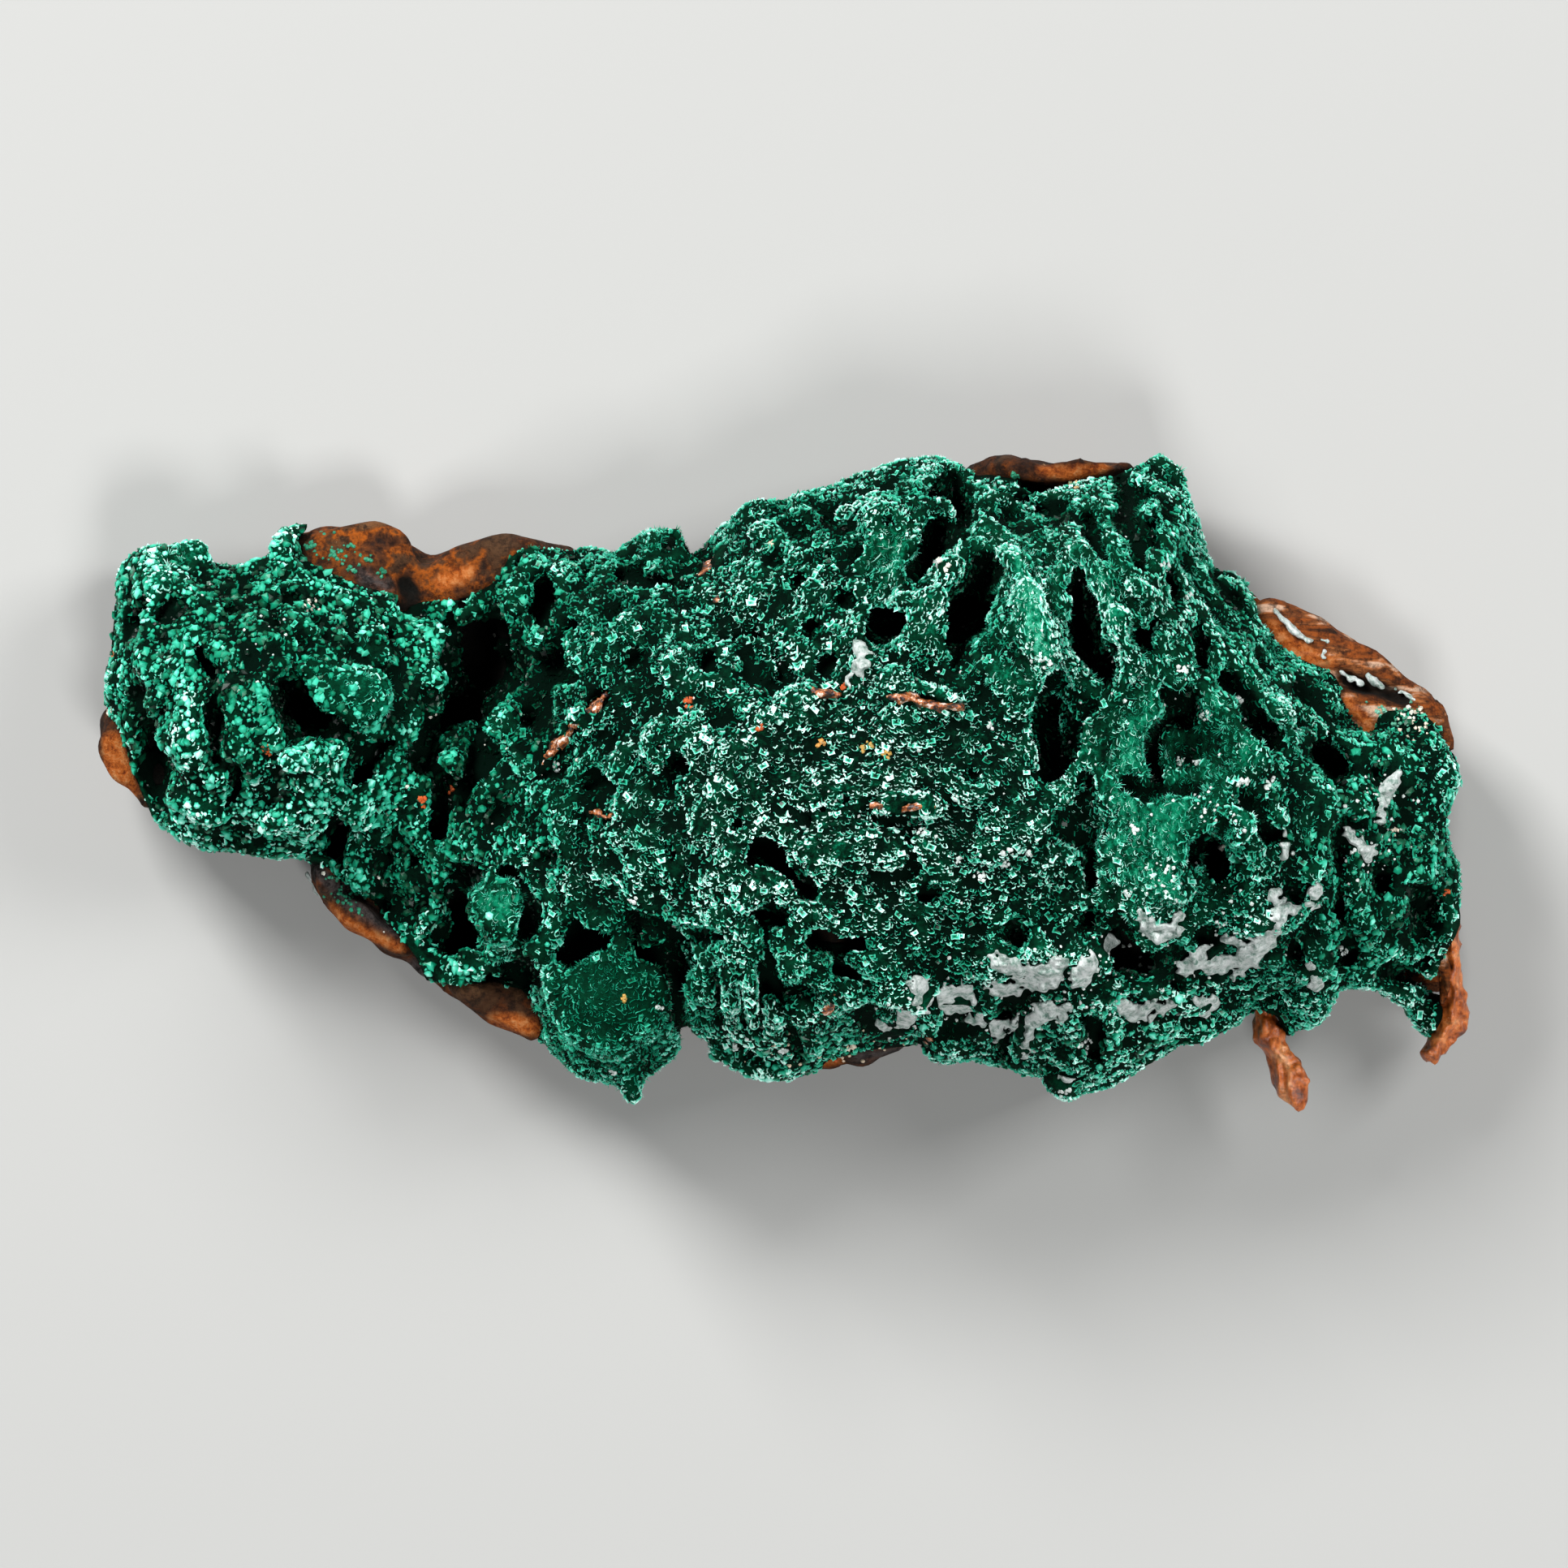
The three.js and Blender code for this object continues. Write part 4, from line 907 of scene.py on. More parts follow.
# How deep a corner lies in a hole or a crack; the finish paints it nearly black as shade.
keep(matrix, "sunk", np.maximum(sunk, np.clip(1.0 - look_up(crevices, points) / 0.4, 0, 1)))
keep(matrix, "apricot", np.clip(0.5 - nearest(APRICOT, points[:, 0], points[:, 1]) / 0.4, 0, 1))
keep(matrix, "grey", np.clip(0.5 - nearest(GREY, points[:, 0], points[:, 1]) / 0.6, 0, 1))
keep(matrix, "banded", np.clip((points[:, 0] - 32) / 2, 0, 1))
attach(matrix, "root")
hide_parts("barite_matrix")
print("barite faces:", len(matrix.data.polygons))

# %% [markdown]
# ## Two standing blades
#
# At the lower right two barite blades stand out past the rim: a spike, and a bent corner blade. Their edges
# are under a millimetre thick, and the large grid's 0.4 mm cells would blur them. A bevelled plate would be
# thin enough, but too clean. So each is a field on a finer grid of its own, just large enough for it, made
# from its outline in plan, its thickness, and noise for the ridges and the chipped edges.

# %% Finer grids for thin pieces
def fine_noise(points, period, seed):
    """Smooth noise with a spread of about one, at points in mm."""
    values = np.random.default_rng(seed).standard_normal((32, 32, 32)).astype(np.float32)
    place = points / period
    base = np.floor(place).astype(int)
    t = place - base
    t = t * t * (3 - 2 * t)
    total = np.zeros(points.shape[:-1], dtype=np.float32)
    for corner in range(8):
        step = np.array([corner & 1, corner >> 1 & 1, corner >> 2 & 1])
        corner = tuple(np.moveaxis((base + step) % 32, -1, 0))
        total += np.prod(np.where(step, t, 1 - t), axis=-1) * values[corner]
    return 1.6 * total


FINE_CRUMB = 40  # on a fine grid an island of fewer corners is dropped


def fine_surface(low, high, shape, cell=0.2):
    """Corners and faces of a shape, given as distances at points, on a fine grid between two corners."""
    low = np.array(low, dtype=float)
    axes = [np.arange(low[axis], high[axis], cell) for axis in range(3)]
    points = np.stack(np.meshgrid(*axes, indexing="ij"), axis=-1)
    return surface(shape(points), low=low, cell=cell, crumb=FINE_CRUMB)


def joined(name, parts):
    """One object from several sets of corners and faces."""
    starts = np.cumsum([0] + [len(corners) for corners, faces in parts])
    corners = np.vstack([corners for corners, faces in parts])
    return make_mesh(name, corners, np.vstack([faces + start for (c, faces), start in zip(parts, starts)]))


sample = fine_noise(np.random.default_rng(1).uniform(0, 30, (2000, 3)), 1.0, 1)
print("the fine noise spreads by", round(float(sample.std()), 2))

# %% A blade from its outline
def inside_outline(outline, x, y):
    """Distance from places to an outline, positive inside it."""
    distance = np.full(x.shape, 1e3)
    inside = np.zeros(x.shape, dtype=bool)
    for (ax, ay), (bx, by) in zip(outline, outline[1:] + outline[:1]):
        dx, dy = bx - ax, by - ay
        t = np.clip(((x - ax) * dx + (y - ay) * dy) / (dx * dx + dy * dy), 0, 1)
        distance = np.minimum(distance, np.hypot(x - ax - t * dx, y - ay - t * dy))
        if ay != by:
            inside ^= ((ay > y) != (by > y)) & (x < ax + (y - ay) / (by - ay) * dx)
    return np.where(inside, distance, -distance)


def thin_blade(outline, low, high, seed):
    """A blade that is thickest along its middle, with ridges along it and chipped edges."""
    def shape(points):
        x, y, z = (points[..., axis] for axis in range(3))
        depth = inside_outline(outline, x[:, :, 0], y[:, :, 0])[..., None]
        depth = depth + 0.1 + 0.1 * fine_noise(points, 0.7, seed)
        bend = 0.5 * fine_noise(points * (1, 1, 0.01), 3.5, seed + 1)
        thick = np.minimum((high - low) / 2 * (1 + 0.07 * np.clip(y + 13, -10, 0)), 0.35 + 1.4 * depth)
        ridges = 0.16 * np.sin(5.5 * (x + 0.35 * y) + 2.0 * fine_noise(points, 1.6, seed + 2))
        face = np.abs(z - (low + high) / 2 - bend) - thick + ridges + 0.1 * fine_noise(points, 0.5, seed + 3)
        return np.maximum(-depth, 0.8 * face)
    (x0, y0), (x1, y1) = np.min(outline, axis=0) - 0.8, np.max(outline, axis=0) + 0.8
    return fine_surface((x0, y0, low - 2), (x1, y1, high + 2), shape)


square = [(0, 0), (2, 0), (2, 2), (0, 2)]
print("the middle of a 2 mm square lies", inside_outline(square, np.ones(1), np.ones(1)), "mm inside it")

# %% The spike and the corner blade, outlines in mm
SPIKE = [
    (34.6, -13.9), (35.4, -14.4), (35.7, -16.2), (35.9, -17.4), (36.5, -18.8), (37.5, -20.2), (38.2, -21.6),
    (38.1, -23.2), (37.5, -23.8), (36.1, -22.8), (35.7, -21.6), (35.2, -19.9), (34.4, -18.7), (34.3, -16.5),
]
CORNER = [
    (48.3, -9.4), (49.0, -9.8), (49.3, -12.8), (49.6, -15.1), (50.0, -16.8), (49.7, -18.0), (48.9, -18.8),
    (47.5, -20.3), (46.8, -20.4), (46.5, -19.8), (47.5, -17.9), (47.9, -16.3), (48.3, -15.1), (47.9, -14.3),
    (48.5, -13.3), (48.2, -11.5),
]
parts = [thin_blade(SPIKE, 6.2, 11.3, 51), thin_blade(CORNER, 3.7, 9.4, 55)]
blades = joined("standing_blades", parts)
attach(blades, "root")
print("standing blades:", len(blades.data.polygons), "faces")

# %% [markdown]
# ## Bare crests
#
# In a few places a blade on edge was never coated, and its rough crest shows as a pale or brown line in the
# green. Each crest is a low wall along a path on a finer grid. It starts below the malachite's surface, so
# that it grows out of the druse and doesn't float over it.

# %% Bare crests in the druse
def bare_crest(path, proud, seed):
    """A blade on edge that follows a path and stands a little proud of the malachite."""
    def shape(points):
        x, y, z = (points[..., axis] for axis in range(3))
        edge, half = beside(path, x[:, :, 0], y[:, :, 0])
        level = look_up(crown_softer, points[:, :, 0]) + proud
        rough = 0.16 * fine_noise(points, 0.7, seed) + 0.08 * fine_noise(points, 0.32, seed + 1)
        roof = z - level[..., None] + 1.5 * (edge + half)[..., None]
        return np.maximum(np.maximum(edge[..., None], 0.7 * roof) + rough, level[..., None] - 3 - z)
    places = np.array(path)[:, :2]
    level = look_up(crown_softer, places)
    low = (*(places.min(axis=0) - 1), level.min() - 3.5)
    return fine_surface(low, (*(places.max(axis=0) + 1), level.max() + 2), shape, cell=0.15)


crown_softer = soften(np.maximum(crown, soften(crown, 10)), 10)
parts = [bare_crest(path, proud, 180 + 2 * n) for n, (path, proud) in enumerate(CRESTS)]
crests = joined("bare_crests", parts)
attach(crests, "root")
print("bare crests:", len(crests.data.polygons), "faces")

# %% [markdown]
# ## Chalky crusts
#
# Pale crusts as thick as an eggshell lie on the lower right, in crescents and small rosettes, and thin pale
# streaks lie on the bare plates, partly crystal streaks and partly painted highlights on their
# glossy creases. They could be painted on, but their edges stand up and cast small shadows.
# They follow what lies under them, so each is the layer of space just over the stone, cut to its outline.

# %% The level that the crusts lie on
crown_outside = crown_of(np.minimum(druse, stone_rough))
crown_soft = soften(crown_outside, 3)
crown_cap = soften(np.maximum(crown_outside, soften(crown_outside, 5)), 5)
crown_cap = soften(np.maximum(crown_cap, soften(crown_outside, 2)), 2)
higher = (crown_cap - crown_outside)[crown_outside > 3]
print("over small gaps the crusts' level lies", round(float(np.percentile(higher, 95)), 1), "mm up")

# %% Crusts and streaks on finer grids
# Thin pale streaks on the bare plates, partly painted highlights on their glossy creases, in mm
PALE_STREAKS_AND_HIGHLIGHTS = (
    [(35.4, 12.9, 0.1), (36.4, 11.9, 0.18), (37.3, 10.9, 0.22), (38.3, 10.3, 0.15)],
    [(39.2, 10.35, 0.12), (39.6, 10.25, 0.16)],
    [(39.35, 9.55, 0.14), (39.3, 9.2, 0.12)],
    [(40.4, 8.1, 0.08), (41.2, 7.65, 0.22), (42.0, 7.25, 0.14)],
    [(42.5, 7.8, 0.14), (43.1, 7.3, 0.26), (43.7, 6.9, 0.14)],
    [(44.7, 6.75, 0.1), (45.9, 6.05, 0.16)],
    [(-34.8, -6.7, 0.1), (-34.1, -8.0, 0.16), (-33.2, -8.9, 0.1)],
)
CRUST = 0.45  # mm, how far a crust's middle stands over the knobs that it covers


def crust(paths, seed, ragged=1.0, cell=0.16):
    """The crusts along some paths, as one shape."""
    def shape(points):
        x, y = points[:, :, 0, 0], points[:, :, 0, 1]
        flat = points[:, :, :1] * (1, 1, 0)
        frill = 0.1 * fine_noise(flat, 0.9, seed) + 0.15 * fine_noise(flat, 0.32, seed + 1)
        edge = nearest(paths, x, y)[..., None] + ragged * (frill - 0.14)
        level = look_up(crown_cap, points[:, :, :1])
        rough = 0.35 * np.abs(fine_noise(flat, 0.55, seed + 2)) - 0.12
        rough = rough + 0.14 * fine_noise(flat, 1.2, seed + 3)
        thick = (CRUST + ragged * rough) * np.sqrt(np.clip(-edge / 0.3, 0, 1))
        above = points[..., 2] - level
        return np.maximum(np.maximum(above - thick, edge), -1.6 - above)
    places = np.array([point[:2] for path in paths for point in path])
    level = look_up(crown_soft, places)
    low = (*(places.min(axis=0) - 1.5), level.min() - 3)
    return fine_surface(low, (*(places.max(axis=0) + 1.5), level.max() + 2), shape, cell=cell)


def grouped(paths, size=8):
    """Paths sorted into squares of some mm, so that each grid stays small."""
    groups = {}
    for path in paths:
        groups.setdefault((int(path[0][0] // size), int(path[0][1] // size)), []).append(path)
    return list(groups.values())


parts = [crust(paths, 90 + 5 * n) for n, paths in enumerate(grouped(CHALK))]
streaks_and_highlights = enumerate(grouped(PALE_STREAKS_AND_HIGHLIGHTS, size=4))
parts += [crust(paths, 290 + 5 * n, ragged=0.35, cell=0.13) for n, paths in streaks_and_highlights]
crusts = joined("chalky_crusts", parts)
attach(crusts, "root")
print("crusts:", len(crusts.data.polygons), "faces")

# %% [markdown]
# ## Rosettes
#
# Malachite grows here as rosettes of needles: little cups with a frayed rim and a heart, bent crests, tufts
# and rounded blobs; the rims are painted bright as a highlight and sheen, the hearts dark as shade. There
# are tens of thousands, so each is a handful of faces, and Geometry Nodes scatter them. A hair system would
# give single needles, but not their bundles. Every corner of a rosette has a number, its lift: 0 where it
# roots and 1 at the tips, where light catches it. The finish paints low lift as shade and high lift as a
# highlight.

# %% A cup, bead or blob, about two units across
def ringed(rings, sides, seed, fray):
    """A shape of revolution with frayed rings: radius, height and lift; the last closes to a point."""
    rng = np.random.default_rng(seed)
    corners, lifts, faces = [], [], []
    for radius, height, lift in rings[:-1]:
        for n in range(sides):
            a = 2 * math.pi * (n + 0.3 * rng.random()) / sides
            r = radius * (1 + fray * rng.uniform(-1, 1))
            corners.append((r * math.cos(a), r * math.sin(a), height + fray * lift * rng.uniform(-1, 1)))
            lifts.append(lift)
    corners.append((0, 0, rings[-1][1]))
    lifts.append(rings[-1][2])
    for ring in range(len(rings) - 2):
        for n in range(sides):
            a, b = ring * sides + n, ring * sides + (n + 1) % sides
            faces.append((a, b, b + sides, a + sides))
    last = (len(rings) - 2) * sides
    faces += [(last + n, last + (n + 1) % sides, len(corners) - 1) for n in range(sides)]
    faces.append(tuple(reversed(range(sides))))
    return corners, faces, lifts


# Rings from the root up: radius, height and lift
# A cup's lift is highest on its rim, a blob's and a bead's on top; the finish paints it as a highlight.
CUP = ((0.72, -0.4, 0.0), (1.0, 0.35, 1.0), (0.0, 0.02, 0.0))
BLOB = ((0.9, -0.4, 0.0), (0.78, 0.3, 0.42), (0.0, 0.62, 0.72))
BEAD = ((0.85, -0.4, 0.0), (0.62, 0.42, 0.75), (0.0, 0.62, 1.0))
print("a blob with six sides has", len(ringed(BLOB, 6, 21, 0.25)[1]), "faces")

# %% A bent crest and a tuft of needles, about two units across
def curl(seed, turn, stations, width=0.22, height=0.75):
    """A bent crest, as a strip of wall whose sharp edge is painted bright as a highlight."""
    rng = np.random.default_rng(seed)
    corners, lifts, faces = [], [], []
    for n in range(stations):
        t = n / (stations - 1)
        a = turn * (t - 0.5) + 0.25 * rng.uniform(-1, 1)
        end = math.sin(math.pi * (0.12 + 0.76 * t))
        r = 0.75 * (1 + 0.35 * rng.uniform(-1, 1))
        crown = height * end + 0.1 * rng.random()
        wall = ((r + width * end, -0.3, 0.1), (r, crown, 1.0), (r - width * end, -0.3, 0.1))
        for radius, level, lift in wall:
            corners.append((radius * math.cos(a) - 0.4, radius * math.sin(a), level))
            lifts.append(lift)
    for n in range(stations - 1):
        for k in range(3):
            a, b = 3 * n + k, 3 * n + (k + 1) % 3
            faces.append((a, a + 3, b + 3, b))
    faces += [(0, 1, 2), (3 * stations - 1, 3 * stations - 2, 3 * stations - 3)]
    return corners, faces, lifts


def tuft(seed, needles, reach):
    """A few needles that fan out from one root."""
    rng = np.random.default_rng(seed)
    corners, lifts, faces = [], [], []
    for n in range(needles):
        a = 2 * math.pi * (n + 0.5 * rng.random()) / needles
        lean = rng.uniform(0.3, 1.0) * reach
        tip = (lean * math.cos(a), lean * math.sin(a), rng.uniform(0.7, 1.2))
        base = len(corners)
        for k in range(3):
            b = a + 2 * math.pi * k / 3
            corners.append((0.25 * tip[0] + 0.16 * math.cos(b), 0.25 * tip[1] + 0.16 * math.sin(b), -0.2))
            lifts.append(0.15)
        corners.append(tip)
        lifts.append(1.0)
        faces += [(base, base + 1, base + 3), (base + 1, base + 2, base + 3), (base + 2, base, base + 3)]
        faces.append((base + 2, base + 1, base))
    return corners, faces, lifts


print("a tuft of four needles has", len(tuft(7, 4, 0.8)[1]), "faces")

# %% The shapes that are scattered
def seed_shape(name, corners, faces, lifts):
    """A small mesh to be scattered, made small enough that a scale of one is one mm across."""
    shape = bmesh.new()
    verts = [shape.verts.new(Vector(c) * 0.5 * MM) for c in corners]
    for face in faces:
        shape.faces.new([verts[n] for n in face])
    bmesh.ops.recalc_face_normals(shape, faces=shape.faces)
    mesh = bpy.data.meshes.new(name)
    shape.to_mesh(mesh)
    shape.free()
    made = bpy.data.objects.new(name, mesh)
    keep(made, "lift", lifts)
    return made


granular = [
    seed_shape("cup_a", *ringed(CUP, 6, 2, 0.55)),
    seed_shape("ridge_a", *curl(17, 1.2, 3, 0.18, 0.6)),
    seed_shape("ridge_b", *curl(18, 1.7, 4, 0.18, 0.6)),
    seed_shape("curl_a", *curl(5, 4.0, 6)),
    seed_shape("curl_b", *curl(6, 2.6, 5)),
    seed_shape("curl_c", *curl(12, 1.8, 3)),
    seed_shape("curl_d", *curl(13, 3.0, 4, 0.3, 0.5)),
    seed_shape("curl_e", *curl(16, 2.2, 4, 0.25, 0.6)),
    seed_shape("tuft_a", *tuft(7, 4, 0.8)),
]
blobs = [
    seed_shape("blob_a", *ringed(BLOB, 6, 21, 0.25)),
    seed_shape("blob_b", *ringed(BLOB, 5, 22, 0.45)),
    seed_shape("blob_c", *ringed(BLOB, 6, 23, 0.6)),
    seed_shape("lobe_a", *curl(24, 1.6, 3, 0.5, 0.55)),
    seed_shape("lobe_b", *curl(25, 2.6, 4, 0.4, 0.5)),
]
fibrous = [
    seed_shape("fibre_a", *tuft(9, 6, 1.1)),
    seed_shape("thread_a", *curl(11, 1.8, 5, 0.12, 0.35)),
    seed_shape("thread_b", *curl(14, 1.2, 4, 0.1, 0.4)),
    seed_shape("thread_c", *curl(15, 2.6, 6, 0.12, 0.3)),
]
beads = [seed_shape("bead_a", *ringed(BEAD, 5, 8, 0.5)), seed_shape("bead_b", *ringed(BEAD, 6, 4, 0.25))]
print("shapes:", [(made.name, len(made.data.polygons)) for made in granular + blobs + fibrous + beads])

# %% [markdown]
# ## Scattering with Geometry Nodes
#
# On the specimen the rosettes sit side by side with their crests in drifts, and here and there the skin
# between them shows. Copying meshes in Python would be slow for fifty thousand of them. A tree of nodes
# spreads points evenly over a surface, turns a shape on each point to the local direction, picks its size
# at random and leaves out what falls on a bare spot. At its end the copies become real faces, and the
# evaluated result is kept as a plain mesh.

# %% Helpers that build a tree of nodes
def new_tree(name, numbers):
    """A Geometry Nodes tree with a geometry input and named numbers, each with its starting value."""
    tree = bpy.data.node_groups.new(name, "GeometryNodeTree")
    tree.interface.new_socket("Surface", in_out="INPUT", socket_type="NodeSocketGeometry")
    for label, value in numbers.items():
        kind = "NodeSocketInt" if isinstance(value, int) else "NodeSocketFloat"
        tree.interface.new_socket(label, in_out="INPUT", socket_type=kind).default_value = value
    tree.interface.new_socket("Pieces", in_out="OUTPUT", socket_type="NodeSocketGeometry")
    return tree


def add(tree, kind, inputs=(), **settings):
    """Adds a node. An input's value is a constant, or the output socket that it is linked to."""
    made = tree.nodes.new(kind)
    for name, value in settings.items():
        setattr(made, name, value)
    for socket, value in dict(inputs).items():
        if isinstance(value, bpy.types.NodeSocket):
            tree.links.new(value, made.inputs[socket])
        else:
            made.inputs[socket].default_value = value
    return made


def stored(tree, name):
    """The output of a named number on the geometry."""
    return add(tree, "GeometryNodeInputNamedAttribute", {0: name}, data_type="FLOAT").outputs[0]


def random_number(tree, low, high, seed):
    """A random number for each point or copy, between two values."""
    return add(tree, "FunctionNodeRandomValue", {2: low, 3: high, 8: seed}, data_type="FLOAT").outputs[1]


def maths(tree, operation, a, b=0.0, c=0.0):
    """The result of one sum on numbers or on output sockets."""
    return add(tree, "ShaderNodeMath", {0: a, 1: b, 2: c}, operation=operation).outputs[0]


def pick(tree, shapes):
    """The shapes as instances to pick from, and a random choice among them."""
    pool = tree.nodes.new("GeometryNodeJoinGeometry")
    for shape in reversed(shapes):
        info = add(tree, "GeometryNodeObjectInfo", {"Object": shape, "As Instance": True})
        tree.links.new(info.outputs["Geometry"], pool.inputs[0])
    which = add(tree, "FunctionNodeRandomValue", {4: 0, 5: len(shapes) - 1, 8: 6}, data_type="INT")
    return pool.outputs[0], which.outputs[2]


def end_tree(tree, grown, finish):
    """Makes the copies real, gives them their finish and ends the tree."""
    real = add(tree, "GeometryNodeRealizeInstances", {0: grown})
    done = add(tree, "GeometryNodeSetMaterial", {"Geometry": real.outputs[0], "Material": finish})
    tree.links.new(done.outputs[0], tree.nodes.new("NodeGroupOutput").inputs[0])


stored_names = [layer.name for layer in west.data.attributes if layer.data_type == "FLOAT"]
print("numbers that a tree can read from the skin:", stored_names)

# %% A tree that scatters shapes over a surface
SPACING = 0.235 * MM  # least distance between two rosettes
DENSITY = 3.4e7  # most rosettes on a square metre, before the spacing thins them


def facing_along(tree, points):
    """Turns each copy so that it stands on the surface and its crest follows the flow, with some play."""
    flow = stored(tree, "flow")
    along = add(tree, "ShaderNodeCombineXYZ", {0: maths(tree, "COSINE", flow), 1: maths(tree, "SINE", flow)})
    facing = add(tree, "FunctionNodeAlignRotationToVector",
                 {"Rotation": points.outputs["Rotation"], "Vector": along.outputs[0]},
                 axis="Y", pivot_axis="Z")
    loose = maths(tree, "MULTIPLY_ADD", stored(tree, "order"), -0.7, 1.0)
    spin = maths(tree, "MULTIPLY", random_number(tree, -0.5 * math.pi, 0.5 * math.pi, 3), loose)
    lean = random_number(tree, -0.5, 0.5, 4)
    for axis, angle in (((0, 0, 1), spin), ((1, 0, 0), lean)):
        turn = add(tree, "FunctionNodeAxisAngleToRotation", {0: axis, 1: angle})
        facing = add(tree, "FunctionNodeRotateRotation", {0: facing.outputs[0], 1: turn.outputs[0]},
                     rotation_space="LOCAL")
    return facing.outputs[0]


def scatter_tree(shapes, finish, share):
    """Scatters shapes on a surface between two values of x, more where a stored share is high."""
    numbers = {"From": 0.0, "To": 1.0, "Spacing": SPACING, "Density": DENSITY, "Smallest": 0.27,
               "Largest": 0.64, "Bare share": 0.42, "Seed": 1}
    tree = new_tree("Scatter " + shapes[0].name, numbers)
    start = tree.nodes.new("NodeGroupInput").outputs
    position = add(tree, "GeometryNodeInputPosition").outputs[0]
    where = add(tree, "ShaderNodeSeparateXYZ", {0: position}).outputs[0]
    past = maths(tree, "GREATER_THAN", where, start["From"])
    before = maths(tree, "LESS_THAN", where, start["To"])
    factor = maths(tree, "MULTIPLY", stored(tree, share), maths(tree, "MULTIPLY", past, before))
    points = add(tree, "GeometryNodeDistributePointsOnFaces",
                 {"Mesh": start["Surface"], "Distance Min": start["Spacing"],
                  "Density Max": start["Density"], "Density Factor": factor, "Seed": start["Seed"]},
                 distribute_method="POISSON")
    pool, which = pick(tree, shapes)
    span = maths(tree, "SUBTRACT", start["Largest"], start["Smallest"])
    size = maths(tree, "POWER", random_number(tree, 0.0, 1.0, 5), 1.6)
    size = maths(tree, "MULTIPLY_ADD", size, span, start["Smallest"])
    breaks = add(tree, "ShaderNodeTexNoise", {"Vector": position, "Scale": 1100.0, "Detail": 2.0}).outputs[0]
    grown = add(tree, "GeometryNodeInstanceOnPoints",
                {"Points": points.outputs["Points"], "Instance": pool, "Pick Instance": True,
                 "Selection": maths(tree, "GREATER_THAN", breaks, start["Bare share"]),
                 "Instance Index": which, "Rotation": facing_along(tree, points), "Scale": size})
    tinted = add(tree, "GeometryNodeStoreNamedAttribute",
                 {"Geometry": grown.outputs[0], "Name": "tint", "Value": random_number(tree, 0.0, 1.0, 7)},
                 data_type="FLOAT", domain="INSTANCE")
    end_tree(tree, tinted.outputs[0], finish)
    return tree


print("at most", round(DENSITY * MM * MM), "rosettes on a square millimetre")

# %% Run a tree and keep what it grew
def grow(name, carrier, tree, **values):
    """Runs a tree on a surface and returns what it made as a plain mesh object."""
    bed = bpy.data.objects.new(name + "_bed", carrier.data)
    bpy.context.scene.collection.objects.link(bed)
    modifier = bed.modifiers.new("grow", "NODES")
    modifier.node_group = tree
    for item in tree.interface.items_tree:
        if item.in_out == "INPUT" and item.name in values:
            modifier[item.identifier] = values[item.name]
    bpy.context.view_layer.update()
    depsgraph = bpy.context.evaluated_depsgraph_get()
    mesh = bpy.data.meshes.new_from_object(bed.evaluated_get(depsgraph))
    bpy.data.objects.remove(bed)
    mesh.name = name
    made = bpy.data.objects.new(name, mesh)
    bpy.context.scene.collection.objects.link(made)
    return made


def triangles_of(made):
    """How many triangles a piece has."""
    made.data.calc_loop_triangles()
    return len(made.data.loop_triangles)


print("triangles of the skin:", triangles_of(west) + triangles_of(east))

# %% [markdown]
# ## Specks
#
# Here and there sit crumbs that are not malachite: white and cream ones of the same chalk, orange ones of
# iron-stained barite, and a few green ones on the bare rims. Their places matter, as the eye finds a white
# speck at once, so they are listed. A point is placed for each crumb, at the height of the druse there, and
# Geometry Nodes put a bead on each point.

